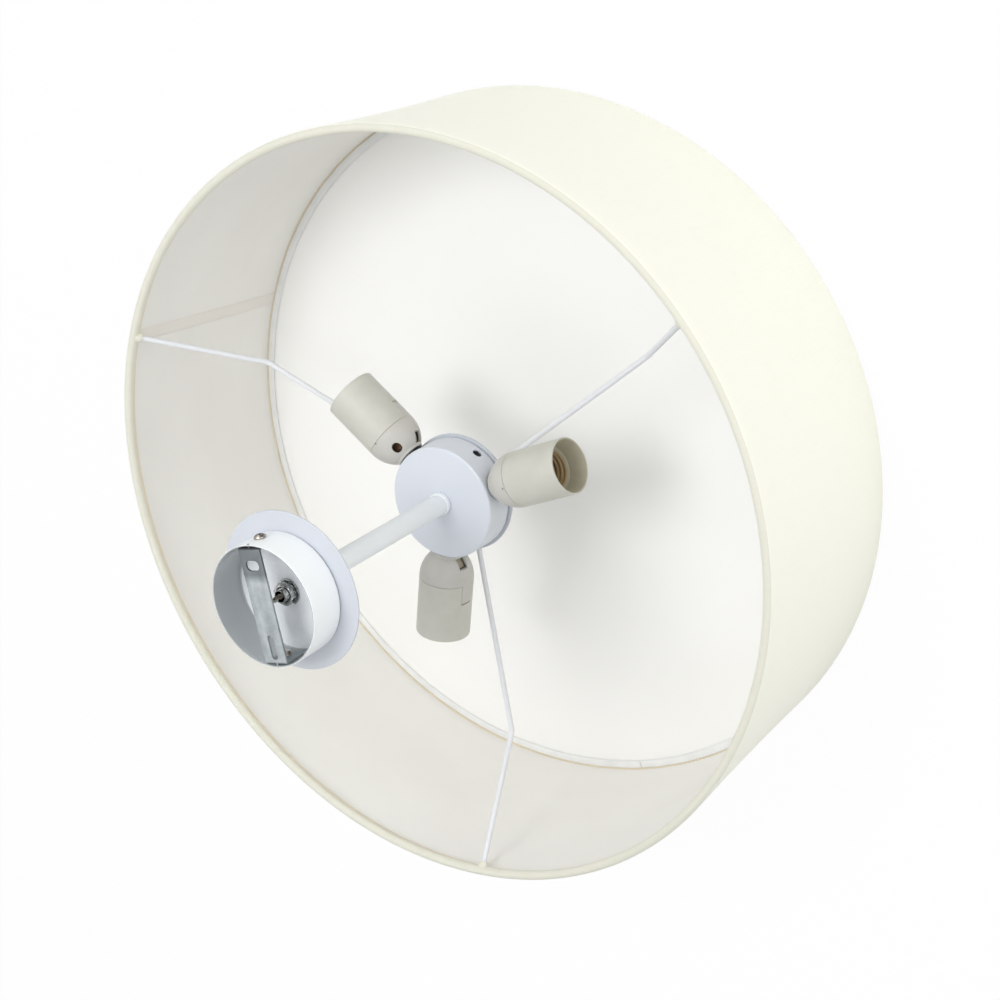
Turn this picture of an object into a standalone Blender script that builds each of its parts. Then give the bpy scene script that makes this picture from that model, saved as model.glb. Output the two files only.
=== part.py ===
# A semi-flush ceiling light: drum shade on a wire spider, three lampholders on a hub, stem and canopy.
# Lengths are in millimetres up to the mesh, which is in metres. The ceiling is z = 0 and the light
# hangs below it. X runs along the mounting bracket.

import math

import bmesh
import bpy
from mathutils import Matrix, Vector

# Shared fits
MM = 0.001
GAP = 0.3                  # air between two neighbouring pieces
THREAD_RADIUS = 5.0        # M10 x 1 lamp thread, used by every nipple
NIPPLE_BORE = 3.9
NUT_FLATS = 14.0           # across flats of every M10 nut

# Canopy
CUP_RADIUS = 41.7
CUP_DEPTH = 27.5
CUP_WALL = 1.0
CUP_CORNER = 2.0
DISC_RADIUS = 55.0
DISC_THICKNESS = 1.6
DISC_EDGE = 0.6
SCREW_RADIUS = 2.0         # M4 canopy screws
SCREW_HEAD_RADIUS = 4.0
SCREW_HEAD_HEIGHT = 2.6
SCREW_LENGTH = 7.0
SCREW_DROP = 12.7          # below the ceiling
CROSS_WIDTH = 1.1
CROSS_SPAN = 4.6
CROSS_DEPTH = 1.5

# Mounting bracket
BRACKET_WIDTH = 18.0
BRACKET_THICKNESS = 1.5
BRACKET_BEND = 1.2         # inside radius of each bend
CROSS_SLOT_AT = 27.5
CROSS_SLOT = (7.0, 11.0)   # along the strip, across it
LONG_SLOT_AT = -28.0
LONG_SLOT = (17.0, 5.0)
PIP_WIDTH = 2.0
PIP_STAND = 0.6            # how far a pip stands out of the cup

# Upper nipple in the cup's floor
WASHER_RADIUS = 9.0
WASHER_THICKNESS = 0.8
WASHER_TEETH = 9
WASHER_TOOTH_ROOT = 7.4
LOCK_NUT_HEIGHT = 5.0
NIPPLE_STAND = 3.0         # thread left above the lock nut
NIPPLE_IN_STEM = 12.0

# Stem
STEM_RADIUS = 7.6
STEM_LENGTH = 164.1
COLLAR_RADIUS = 8.6
COLLAR_HEIGHT = 4.0

# Hub
HUB_RADIUS = 42.0
HUB_DEPTH = 24.4
HUB_WALL = 1.0
HUB_CORNER = 1.4
COVER_RADIUS = 44.2
COVER_THICKNESS = 1.5
COVER_EDGE = 0.5
HUB_NUT_HEIGHT = 3.0
COVER_NUT_HEIGHT = 6.6
SIDE_HOLE_RADIUS = 3.4
SIDE_HOLE_TURN = -42.0     # degrees round the hub
SIDE_HOLE_DROP = 17.2      # below the hub's top face
OUTLET_WIDTH = 5.0         # side outlet of the lower nipple, inside the hub
OUTLET_HEIGHT = 8.0

# Spider and what holds it
SPIDER_TURN = 57.4         # degrees from the bracket to the first arm
ARMS = 3
ARM_RADIUS = 2.0
ARM_KINK_RADIUS = 194.5    # from the middle to the crank
ARM_BEND = 9.0
SPIDER_DROP = 66.0         # from the top ring down to the flat part of the arms
SPIDER_PLATE_RADIUS = 17.0
SPIDER_PLATE = 2.2
PLATE_CLEARANCE = 0.4
RETAINING_WASHER_RADIUS = 13.0
RETAINING_WASHER = 1.2
THUMB_NUT_RADIUS = 11.0
THUMB_NUT_HEIGHT = 8.0
THUMB_NUT_FLUTES = 12
THUMB_NUT_FLUTE_DEPTH = 0.6
NIPPLE_TAIL = 9.0          # thread left below the thumb nut, which it runs down on
NUT_TRAVEL = 5.0

# Shade
SHADE_RADIUS = 275.0
SHADE_HEIGHT = 182.0
SHADE_WALL = 1.2           # fabric laminated to its stiff backing
RING_RADIUS = 1.75         # wire of the top and bottom rings
HEM_TURN = 250.0           # degrees of each hem's roll round its ring
NOTCH_SPARE = 1.5          # hem cut away on each side of an arm
SHADE_STEPS = 42

# Diffuser
DIFFUSER_THICKNESS = 1.6
DIFFUSER_CLEARANCE = 1.0   # between the edge band and the shade
BAND_WIDTH = 6.0
BAND_HEIGHT = 3.0
BAND_LIP = 0.9
BAND_SPLIT = 0.12          # degrees left open where the band's ends meet
BAND_SPLIT_AT = 129.0      # degrees from the first arm

# Lampholders, with distances along each holder's axis from the hub's side
HOLDERS = 3
HOLDER_FIRST = 41.1        # degrees from the bracket
HOLDER_TURNS = (292.0, 93.0, 312.0)   # each holder's locking tongue, round its own axis
HOLDER_DROP = 13.5         # axis below the hub's top face
HOLDER_RADIUS = 20.1
HOLDER_NECK_RADIUS = 10.8
HOLDER_NECK_AT = 2.2
HOLDER_SEAM_AT = 22.3
HOLDER_MOUTH_AT = 67.2
HOLDER_WALL = 1.6
HOLDER_STEPS = 20
NECK_RING_RADIUS = 10.0
NECK_RING = 1.6
HOLDER_NUT_HEIGHT = 3.0
HOLDER_NIPPLE_IN_HUB = 7.0
HOLDER_NIPPLE_IN_DOME = 9.5
DOME_BOSS_RADIUS = 7.4
SPIGOT_LENGTH = 5.2
TONGUE_ANGLE = 27.0
TONGUE_LENGTH = 14.5
RELEASE_HOLE_AT = 8.6
RELEASE_HOLE_SIDE = 7.2
RELEASE_HOLE_TURN = -5.0   # degrees from the tongue
ROUND_HOLE_AT = 8.8
ROUND_HOLE_RADIUS = 3.6
ROUND_HOLE_TURN = -86.0    # degrees from the tongue
RECESS_DEPTH = 9.0
RECESS_RADIUS = 17.4
SLEEVE_RADIUS = 16.0
SLEEVE_LENGTH = 15.5
ENTRY_RADIUS = 14.3
E27_MAJOR = 13.4           # radius at the thread's root
E27_MINOR = 12.3           # radius at its crest
E27_PITCH = 3.62
THREAD_SAMPLES = 12
CARRIER_RADIUS = 16.1
CARRIER_FRONT_AT = 38.0
CARRIER_NOSE_RADIUS = 12.0
CARRIER_FLANGE = 3.0
CONTACT_THICKNESS = 0.6
CONTACT_WIDTH = 5.0
CENTRE_CONTACT_RISE = 3.4  # above the carrier's front
CENTRE_CONTACT_FOOT = 8.0  # from the holder's axis
CENTRE_CONTACT_NOSE = 2.6
CENTRE_CONTACT_TRAVEL = 1.5
SIDE_CONTACT_RISE = 7.5
SIDE_CONTACT_FOOT = 10.6
CONTACT_SLOT_DEPTH = 6.0

# Lead in the canopy and terminal block behind the bracket
CABLE_RADIUS = 1.7
BLOCK_LENGTH = 14.0
BLOCK_THICKNESS = 6.0
BLOCK_POLES = 2
BLOCK_PITCH = 5.4
BLOCK_FACE = -6.0
BLOCK_SIDE = 4.2
BLOCK_WIRE_RADIUS = 1.6

# Levels, worked out downwards from the ceiling
CUP_FLOOR = -CUP_DEPTH + CUP_WALL
DISC_TOP = -CUP_DEPTH - GAP
DISC_BOTTOM = DISC_TOP - DISC_THICKNESS
STEM_TOP = DISC_BOTTOM - GAP
STEM_BOTTOM = STEM_TOP - STEM_LENGTH
COLLAR_TOP = STEM_BOTTOM - GAP
COLLAR_BOTTOM = COLLAR_TOP - COLLAR_HEIGHT
HUB_TOP = COLLAR_BOTTOM - GAP
HUB_BOTTOM = HUB_TOP - HUB_DEPTH
COVER_TOP = HUB_BOTTOM - GAP
COVER_BOTTOM = COVER_TOP - COVER_THICKNESS
COVER_NUT_TOP = COVER_BOTTOM - GAP
PLATE_TOP = COVER_NUT_TOP - COVER_NUT_HEIGHT - GAP
SPIDER_LEVEL = PLATE_TOP - SPIDER_PLATE / 2
RETAINING_WASHER_TOP = PLATE_TOP - SPIDER_PLATE - GAP
THUMB_NUT_TOP = RETAINING_WASHER_TOP - RETAINING_WASHER - GAP
LOWER_NIPPLE_END = THUMB_NUT_TOP - THUMB_NUT_HEIGHT - NIPPLE_TAIL
LOCK_WASHER_BOTTOM = CUP_FLOOR + GAP
LOCK_NUT_BOTTOM = LOCK_WASHER_BOTTOM + WASHER_THICKNESS + GAP
NIPPLE_TOP = LOCK_NUT_BOTTOM + LOCK_NUT_HEIGHT + NIPPLE_STAND
HEM_RADIUS = RING_RADIUS + GAP + SHADE_WALL
RING_CIRCLE = SHADE_RADIUS - HEM_RADIUS
TOP_RING_LEVEL = SPIDER_LEVEL + SPIDER_DROP
SHADE_TOP = TOP_RING_LEVEL + HEM_RADIUS
SHADE_BOTTOM = SHADE_TOP - SHADE_HEIGHT
BOTTOM_RING_LEVEL = SHADE_BOTTOM + HEM_RADIUS
HOLDER_LEVEL = HUB_TOP - HOLDER_DROP
BLOCK_TOP = -BRACKET_THICKNESS - GAP
THREAD_HOLE = THREAD_RADIUS + GAP


def finish(name, colour, roughness, metallic=0.0):
    """A material with one Principled BSDF."""
    material = bpy.data.materials.new(name)
    material.use_nodes = True
    shader = material.node_tree.nodes["Principled BSDF"]
    shader.inputs["Base Color"].default_value = (*colour, 1.0)
    shader.inputs["Roughness"].default_value = roughness
    shader.inputs["Metallic"].default_value = metallic
    return material


def placed(name, mesh_maker, material, parent=None, matrix=None):
    """A new object whose mesh is what mesh_maker fills in, in millimetres."""
    bm = bmesh.new()
    mesh_maker(bm)
    bmesh.ops.remove_doubles(bm, verts=bm.verts, dist=1e-4)
    bmesh.ops.recalc_face_normals(bm, faces=bm.faces)
    bmesh.ops.scale(bm, vec=(MM, MM, MM), verts=bm.verts)
    mesh = bpy.data.meshes.new(name)
    bm.to_mesh(mesh)
    bm.free()
    mesh.shade_smooth()
    mesh.set_sharp_from_angle(angle=math.radians(35))
    thing = bpy.data.objects.new(name, mesh)
    bpy.context.scene.collection.objects.link(thing)
    if material:
        mesh.materials.append(material)
    if parent:
        thing.parent = parent
    if matrix:
        thing.matrix_local = matrix
    return thing


def axis_empty(name, turn=0.0, level=0.0, parent=None):
    """An empty on a joint's axis or a piece's own axis, turned about Z."""
    empty = bpy.data.objects.new(name, None)
    bpy.context.scene.collection.objects.link(empty)
    empty.parent = parent
    empty.location = (0.0, 0.0, level * MM)
    empty.rotation_euler = (0.0, 0.0, math.radians(turn))
    return empty


def arc(centre, radius, start, end, count):
    """Points on a circle in the (r, z) plane, from start to end in degrees."""
    angles = [math.radians(start + (end - start) * i / (count - 1)) for i in range(count)]
    return [(centre[0] + radius * math.cos(a), centre[1] + radius * math.sin(a)) for a in angles]


def turned(outline, steps):
    """Mesh maker: a closed (r, z) outline, or one that starts and ends on the axis, spun round Z."""
    def make(bm):
        points = [bm.verts.new((r, 0.0, z)) for r, z in outline]
        on_axis = outline[0][0] == 0.0 and outline[-1][0] == 0.0
        last = len(points) - 1 if on_axis else len(points)
        edges = [bm.edges.new((points[i], points[(i + 1) % len(points)])) for i in range(last)]
        bmesh.ops.spin(bm, geom=points + edges, axis=(0, 0, 1), cent=(0, 0, 0),
                       angle=2 * math.pi, steps=steps, use_merge=True)
    return make


def swept_round(section_at, steps, start=0.0, sweep=360.0):
    """Mesh maker: closed sections, which may change with the angle, joined round Z."""
    whole = sweep >= 360.0

    def make(bm):
        rings = []
        for i in range(steps if whole else steps + 1):
            angle = math.radians(start + sweep * i / steps)
            spoke = Vector((math.cos(angle), math.sin(angle), 0.0))
            rings.append([bm.verts.new(spoke * r + Vector((0, 0, z))) for r, z in section_at(i, angle)])
        for i in range(steps):
            near = rings[i]
            far = rings[(i + 1) % len(rings)]
            for j in range(len(near)):
                k = (j + 1) % len(near)
                bm.faces.new((near[j], near[k], far[k], far[j]))
        if not whole:
            bm.faces.new(rings[0])
            bm.faces.new(rings[-1])
    return make


def tube_along(path, radius, sides):
    """Mesh maker: a round bar along a path of points, with flat ends."""
    def make(bm):
        points = [Vector(p) for p in path]
        rings = []
        for i, point in enumerate(points):
            before = (point - points[i - 1]).normalized() if i else (points[1] - point).normalized()
            after = (points[i + 1] - point).normalized() if i + 1 < len(points) else before
            turn = (before + after).normalized().to_track_quat("Z", "Y").to_matrix()
            ring = []
            for j in range(sides):
                angle = 2 * math.pi * (j + 0.5) / sides
                ring.append(bm.verts.new(point + turn @ Vector((math.cos(angle), math.sin(angle), 0)) * radius))
            rings.append(ring)
        for near, far in zip(rings, rings[1:]):
            for j in range(sides):
                k = (j + 1) % sides
                bm.faces.new((near[j], near[k], far[k], far[j]))
        bm.faces.new(rings[0])
        bm.faces.new(rings[-1])
    return make


def block(low, high):
    """Mesh maker: a box between two corners."""
    def make(bm):
        bmesh.ops.create_cube(bm, size=1.0)
        size = Vector(high) - Vector(low)
        bmesh.ops.scale(bm, vec=size, verts=bm.verts)
        bmesh.ops.translate(bm, vec=(Vector(high) + Vector(low)) / 2, verts=bm.verts)
    return make


def bar(radius, low, high, sides, turn=None, at=(0, 0, 0)):
    """Mesh maker: a cylinder along Z from low to high, then turned by a matrix and moved."""
    def make(bm):
        bmesh.ops.create_cone(bm, cap_ends=True, segments=sides, radius1=radius, radius2=radius,
                              depth=high - low)
        bmesh.ops.translate(bm, vec=(0, 0, (high + low) / 2), verts=bm.verts)
        if turn:
            bmesh.ops.transform(bm, matrix=turn, verts=bm.verts)
        bmesh.ops.translate(bm, vec=at, verts=bm.verts)
    return make


def ribbon(path, thickness):
    """The closed outline of a strip of even thickness whose middle line is path."""
    sides = ([], [])
    for i, point in enumerate(path):
        here = Vector(point)
        before = (here - Vector(path[i - 1])).normalized() if i else None
        after = (Vector(path[i + 1]) - here).normalized() if i + 1 < len(path) else None
        before = before or after
        after = after or before
        normal = Vector((-(before + after).y, (before + after).x)).normalized()
        reach = thickness / 2 / max(0.3, normal.dot(Vector((-before.y, before.x))))
        sides[0].append(tuple(here + normal * reach))
        sides[1].append(tuple(here - normal * reach))
    return sides[0] + sides[1][::-1]


def extruded(outline, low, high):
    """Mesh maker: a closed (x, z) outline drawn out along Y from low to high."""
    def make(bm):
        face = bm.faces.new([bm.verts.new((x, low, z)) for x, z in outline])
        grown = bmesh.ops.extrude_face_region(bm, geom=[face])["geom"]
        moved = [v for v in grown if isinstance(v, bmesh.types.BMVert)]
        bmesh.ops.translate(bm, vec=(0, high - low, 0), verts=moved)
    return make


def several(*makers):
    """Mesh maker: shapes that don't touch, in one mesh, such as a pattern of cutters."""
    def make(bm):
        for maker in makers:
            maker(bm)
    return make


def combine(thing, operation, maker, name):
    """Cuts a shape out of thing or adds it, in thing's own axes, with a Boolean modifier."""
    tool = placed(name, maker, None, thing)
    tool.hide_render = True
    tool.display_type = "WIRE"
    modifier = thing.modifiers.new(name, "BOOLEAN")
    modifier.operation = operation
    modifier.solver = "EXACT"
    modifier.object = tool


def ring_outline(inner, outer, low, high):
    return [(inner, low), (outer, low), (outer, high), (inner, high)]


def eased_disc(inner, outer, low, high, ease):
    """A flat ring's outline with the corner of its upper face broken."""
    return [(inner, low), (outer, low), (outer, high - ease), (outer - ease, high), (inner, high)]


def hex_nut(inner, low, high):
    """Mesh maker: a hexagonal nut round Z, with the corners of its upper face eased."""
    flat = NUT_FLATS / 2

    def section(i, _):
        reach = flat / math.cos(math.radians(30)) if i % 2 else flat
        ease = 0.5 if i % 2 else 0.1
        return [(inner, low), (reach, low), (reach, high - ease), (flat - 0.1, high), (inner, high)]
    return swept_round(section, 12)


def pressed_cup(radius, wall, corner, mouth, floor, hole):
    """Outline of a pressed can, its mouth up: wall, rounded corner, floor with a middle hole."""
    outer = arc((radius - corner, floor + corner), corner, 0, -90, 3)
    inner = arc((radius - corner, floor + corner), corner - wall, -90, 0, 2)
    return [(radius, mouth)] + outer + [(hole, floor), (hole, floor + wall)] + inner + [(radius - wall, mouth)]


# Canopy pieces

def make_cup(material):
    outline = pressed_cup(CUP_RADIUS, CUP_WALL, CUP_CORNER, 0.0, -CUP_DEPTH, THREAD_HOLE)
    cup = placed("canopy_cup", turned(outline, 32), material)
    quarter = Matrix.Rotation(math.radians(90), 3, "Y")
    reach = CUP_RADIUS + 2.0
    holes = bar(SCREW_RADIUS + GAP, -reach, reach, 16, quarter, (0, 0, -SCREW_DROP))
    combine(cup, "DIFFERENCE", holes, "canopy_cup_screw_holes")
    half = PIP_WIDTH / 2 + GAP
    notches = block((-reach, -half, -BRACKET_THICKNESS - GAP), (reach, half, 1.0))
    combine(cup, "DIFFERENCE", notches, "canopy_cup_notches")


def make_disc(material):
    outline = eased_disc(THREAD_HOLE, DISC_RADIUS, DISC_BOTTOM, DISC_TOP, DISC_EDGE)
    placed("canopy_disc", turned(outline, 36), material)


def make_bracket(material):
    reach = math.sqrt((CUP_RADIUS - CUP_WALL - 2 * GAP) ** 2 - (BRACKET_WIDTH / 2) ** 2)
    middle = reach - BRACKET_THICKNESS / 2
    bend = BRACKET_BEND + BRACKET_THICKNESS / 2
    level = -BRACKET_THICKNESS / 2
    half = BRACKET_WIDTH / 2
    end = -SCREW_DROP - half
    right = arc((middle - bend, level - bend), bend, 0, 90, 4)
    left = arc((bend - middle, level - bend), bend, 90, 180, 4)
    path = [(middle, end)] + right + left + [(-middle, end)]
    bracket = placed("mounting_bracket", extruded(ribbon(path, BRACKET_THICKNESS), -half, half), material)
    combine(bracket, "DIFFERENCE", round_end_waste(half, reach + 1), "bracket_round_ends")
    quarter = Matrix.Rotation(math.radians(90), 3, "Y")
    for side, name in ((1, "bracket_pip_right"), (-1, "bracket_pip_left")):
        root = side * (reach - BRACKET_BEND - BRACKET_THICKNESS)
        low, high = sorted((root, side * (CUP_RADIUS + PIP_STAND)))
        pip = block((low, -PIP_WIDTH / 2, -BRACKET_THICKNESS + 0.2), (high, PIP_WIDTH / 2, -0.1))
        combine(bracket, "UNION", pip, name)
    holes = bar(SCREW_RADIUS + GAP, -reach - 1, reach + 1, 16, quarter, (0, 0, -SCREW_DROP))
    combine(bracket, "DIFFERENCE", holes, "bracket_screw_holes")
    combine(bracket, "DIFFERENCE", slot(CROSS_SLOT_AT, *CROSS_SLOT), "bracket_cross_slot")
    combine(bracket, "DIFFERENCE", slot(LONG_SLOT_AT, *LONG_SLOT), "bracket_long_slot")


def round_end_waste(half, reach):
    """Mesh maker: what is cut away round the bracket's two bent ends to leave them round."""
    ends = arc((0.0, -SCREW_DROP), half + 0.5, 190, 350, 13)
    low = -SCREW_DROP - half - 3.0
    outline = ends + [(half + 3.0, ends[-1][1]), (half + 3.0, low), (-half - 3.0, low),
                      (-half - 3.0, ends[0][1])]

    def make(bm):
        extruded(outline, -reach, reach)(bm)
        bmesh.ops.transform(bm, matrix=Matrix.Rotation(math.radians(90), 4, "Z"), verts=bm.verts)
    return make


def slot(at, length, width):
    """Mesh maker: an upright slot with round ends, centred at (at, 0)."""
    radius = min(length, width) / 2
    straight = abs(length - width) / 2
    lengthways = length > width
    ends = []
    for side, start in ((1, -90), (-1, 90)):
        for i in range(9):
            angle = math.radians(start + 180 * i / 8)
            ends.append((side * straight + radius * math.cos(angle), radius * math.sin(angle)))
    points = [(at + x, y) if lengthways else (at - y, x) for x, y in ends]

    def make(bm):
        face = bm.faces.new([bm.verts.new((x, y, -BRACKET_THICKNESS - 1)) for x, y in points])
        grown = bmesh.ops.extrude_face_region(bm, geom=[face])["geom"]
        moved = [v for v in grown if isinstance(v, bmesh.types.BMVert)]
        bmesh.ops.translate(bm, vec=(0, 0, BRACKET_THICKNESS + 2), verts=moved)
    return make


def make_screws(material):
    head = CUP_RADIUS + GAP
    crown = head + SCREW_HEAD_HEIGHT
    outline = [(0.0, head - SCREW_LENGTH), (SCREW_RADIUS - 0.5, head - SCREW_LENGTH),
               (SCREW_RADIUS, head - SCREW_LENGTH + 0.5), (SCREW_RADIUS, head), (SCREW_HEAD_RADIUS, head),
               (SCREW_HEAD_RADIUS, head + 0.4 * SCREW_HEAD_HEIGHT),
               (0.8 * SCREW_HEAD_RADIUS, head + 0.85 * SCREW_HEAD_HEIGHT), (0.0, crown)]
    for number, turn in ((1, 0.0), (2, 180.0)):
        across = axis_empty(f"canopy_screw_{number}_axis", turn, -SCREW_DROP)
        screw = placed(f"canopy_screw_{number}", turned(outline, 12), material, across,
                       Matrix.Rotation(math.radians(90), 4, "Y"))
        for way, span in (("a", (CROSS_SPAN, CROSS_WIDTH)), ("b", (CROSS_WIDTH, CROSS_SPAN))):
            x, y = span[0] / 2, span[1] / 2
            cut = block((-x, -y, crown - CROSS_DEPTH), (x, y, crown + 1))
            combine(screw, "DIFFERENCE", cut, f"canopy_screw_{number}_cross_{way}")


def make_upper_nipple(steel, zinc):
    nipple = ring_outline(NIPPLE_BORE, THREAD_RADIUS, STEM_TOP - NIPPLE_IN_STEM, NIPPLE_TOP)
    placed("upper_nipple", turned(nipple, 16), steel)
    low = LOCK_WASHER_BOTTOM

    def washer(i, _):
        inner = WASHER_TOOTH_ROOT if i % 4 in (0, 1) else THREAD_HOLE
        return ring_outline(inner, WASHER_RADIUS, low, low + WASHER_THICKNESS)
    placed("lock_washer", swept_round(washer, 4 * WASHER_TEETH), zinc)
    nut = hex_nut(THREAD_HOLE, LOCK_NUT_BOTTOM, LOCK_NUT_BOTTOM + LOCK_NUT_HEIGHT)
    placed("lock_nut", nut, zinc)


# Stem and hub

def make_stem(material):
    placed("stem_tube", turned(ring_outline(THREAD_HOLE, STEM_RADIUS, STEM_BOTTOM, STEM_TOP), 20), material)
    collar = [(THREAD_HOLE, COLLAR_BOTTOM), (COLLAR_RADIUS, COLLAR_BOTTOM),
              (COLLAR_RADIUS, COLLAR_TOP - 0.8), (COLLAR_RADIUS - 0.8, COLLAR_TOP), (THREAD_HOLE, COLLAR_TOP)]
    placed("stem_collar", turned(collar, 20), material)


def make_hub(material):
    outline = [(r, -z) for r, z in pressed_cup(HUB_RADIUS, HUB_WALL, HUB_CORNER, -HUB_BOTTOM, -HUB_TOP,
                                               THREAD_HOLE)]
    hub = placed("hub_can", turned(outline, 32), material)
    quarter = Matrix.Rotation(math.radians(90), 3, "Y")
    inside = HUB_RADIUS - 8.0
    for number in range(HOLDERS):
        turn = Matrix.Rotation(math.radians(holder_azimuth(number)), 3, "Z") @ quarter
        hole = bar(THREAD_HOLE, inside, HUB_RADIUS + 2, 12, turn, (0, 0, HOLDER_LEVEL))
        combine(hub, "DIFFERENCE", hole, f"hub_holder_hole_{number + 1}")
    turn = Matrix.Rotation(math.radians(SIDE_HOLE_TURN), 3, "Z") @ quarter
    hole = bar(SIDE_HOLE_RADIUS, inside, HUB_RADIUS + 2, 10, turn, (0, 0, HUB_TOP - SIDE_HOLE_DROP))
    combine(hub, "DIFFERENCE", hole, "hub_side_hole")
    cover = eased_disc(THREAD_HOLE, COVER_RADIUS, COVER_BOTTOM, COVER_TOP, COVER_EDGE)
    placed("hub_cover", turned(cover, 36), material)


def make_hub_fixings(steel, zinc):
    outline = ring_outline(NIPPLE_BORE, THREAD_RADIUS, LOWER_NIPPLE_END, STEM_BOTTOM + NIPPLE_IN_STEM)
    nipple = placed("lower_nipple", turned(outline, 16), steel)
    half = OUTLET_WIDTH / 2
    low = COVER_TOP + 3.0
    outlet = block((0.0, -half, low), (THREAD_RADIUS + 1, half, low + OUTLET_HEIGHT))
    combine(nipple, "DIFFERENCE", outlet, "lower_nipple_outlet")
    top = HUB_TOP - HUB_WALL - GAP
    placed("hub_nut", hex_nut(THREAD_HOLE, top - HUB_NUT_HEIGHT, top), zinc)
    placed("cover_nut", hex_nut(THREAD_HOLE, COVER_NUT_TOP - COVER_NUT_HEIGHT, COVER_NUT_TOP), zinc)


# Spider, its washer and thumb nut

def arm_path():
    """One arm's middle line in its own (x, z) plane, from under the hub out to the top ring."""
    kink = Vector((ARM_KINK_RADIUS, SPIDER_LEVEL))
    ring = Vector((RING_CIRCLE, TOP_RING_LEVEL))
    up = (ring - kink).normalized()
    end = ring - up * (RING_RADIUS + GAP)
    half = math.atan2(up.y, up.x) / 2
    reach = ARM_BEND * math.tan(half)
    bend = arc((kink.x - reach, kink.y + ARM_BEND), ARM_BEND, -90, -90 + math.degrees(2 * half), 5)
    inner = SPIDER_PLATE_RADIUS - 4.0
    return [(inner, SPIDER_LEVEL)] + bend + [tuple(end)]


def make_spider(material, parent):
    plate = ring_outline(THREAD_RADIUS + PLATE_CLEARANCE, SPIDER_PLATE_RADIUS,
                         PLATE_TOP - SPIDER_PLATE, PLATE_TOP)
    spider = placed("spider", turned(plate, 24), material, parent)
    for number in range(ARMS):
        angle = 2 * math.pi * number / ARMS
        path = [(x * math.cos(angle), x * math.sin(angle), z) for x, z in arm_path()]
        combine(spider, "UNION", tube_along(path, ARM_RADIUS, 8), f"spider_arm_{number + 1}")


def make_retaining_nut(zinc, brass, washer_parent, nut_parent):
    washer = ring_outline(THREAD_RADIUS + PLATE_CLEARANCE, RETAINING_WASHER_RADIUS,
                          RETAINING_WASHER_TOP - RETAINING_WASHER, RETAINING_WASHER_TOP)
    placed("retaining_washer", turned(washer, 18), zinc, washer_parent)

    def section(i, _):
        outer = THUMB_NUT_RADIUS - (THUMB_NUT_FLUTE_DEPTH if i % 2 else 0.0)
        low = THUMB_NUT_TOP - THUMB_NUT_HEIGHT
        return [(THREAD_HOLE, low), (outer - 0.8, low), (outer, low + 0.8), (outer, THUMB_NUT_TOP),
                (THREAD_HOLE, THUMB_NUT_TOP)]
    placed("thumb_nut", swept_round(section, 2 * THUMB_NUT_FLUTES), brass, nut_parent)


# Shade and diffuser

def hem_path(level, way):
    """Middle line of one rolled hem, from the wall round the ring to the hem's tucked end."""
    roll = HEM_RADIUS - SHADE_WALL / 2
    turns = [math.radians(HEM_TURN * i / 5) for i in range(6)]
    return [(RING_CIRCLE + roll * math.cos(a), level + way * roll * math.sin(a)) for a in turns]


def make_shade(material, parent):
    path = hem_path(TOP_RING_LEVEL, 1)[::-1] + hem_path(BOTTOM_RING_LEVEL, -1)
    wall = placed("shade_wall", turned(ribbon(path, SHADE_WALL), SHADE_STEPS), material, parent)
    notch = []
    for number in range(ARMS):
        spoke = Matrix.Rotation(2 * math.pi * number / ARMS, 3, "Z")
        notch.append(turned_block(spoke))
    combine(wall, "DIFFERENCE", several(*notch), "shade_arm_notches")


def turned_block(spoke):
    """Mesh maker: the part of the hem that is cut away for one arm."""
    half = ARM_RADIUS + NOTCH_SPARE
    low = Vector((RING_CIRCLE - 2 * HEM_RADIUS, -half, TOP_RING_LEVEL - 2 * HEM_RADIUS))
    high = Vector((RING_CIRCLE - GAP, half, TOP_RING_LEVEL + ARM_RADIUS / 2))

    def make(bm):
        before = set(bm.verts)
        corners = bmesh.ops.create_cube(bm, size=1.0)["verts"]
        bmesh.ops.scale(bm, vec=high - low, verts=corners)
        bmesh.ops.translate(bm, vec=(high + low) / 2, verts=corners)
        bmesh.ops.transform(bm, matrix=spoke.to_4x4(), verts=[v for v in bm.verts if v not in before])
    return make


def make_rings(material, parent):
    for name, level in (("top_ring", TOP_RING_LEVEL), ("bottom_ring", BOTTOM_RING_LEVEL)):
        outline = arc((RING_CIRCLE, level), RING_RADIUS, 0, 288, 5)
        placed(name, turned(outline, SHADE_STEPS), material, parent)


def make_diffuser(sheet, trim, parent):
    edge = SHADE_RADIUS - SHADE_WALL - DIFFUSER_CLEARANCE
    low = SHADE_BOTTOM + 2 * HEM_RADIUS + GAP
    under = low + BAND_LIP
    top = under + GAP + DIFFUSER_THICKNESS
    disc = edge - BAND_LIP - GAP
    outline = [(0.0, under + GAP), (disc, under + GAP), (disc, top), (0.0, top)]
    placed("diffuser_disc", turned(outline, SHADE_STEPS), sheet, parent)
    inner = edge - BAND_WIDTH
    high = low + BAND_HEIGHT + 2 * GAP
    channel = [(inner, low), (edge, low), (edge, high), (inner, high), (inner, top + GAP),
               (edge - BAND_LIP, top + GAP), (edge - BAND_LIP, under), (inner, under)]
    half = BAND_SPLIT / 2
    band = swept_round(lambda i, angle: channel, SHADE_STEPS, BAND_SPLIT_AT + half, 360.0 - BAND_SPLIT)
    placed("diffuser_band", band, trim, parent)


# Lampholders

def holder_azimuth(number):
    return HOLDER_FIRST + 360.0 * number / HOLDERS


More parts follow.
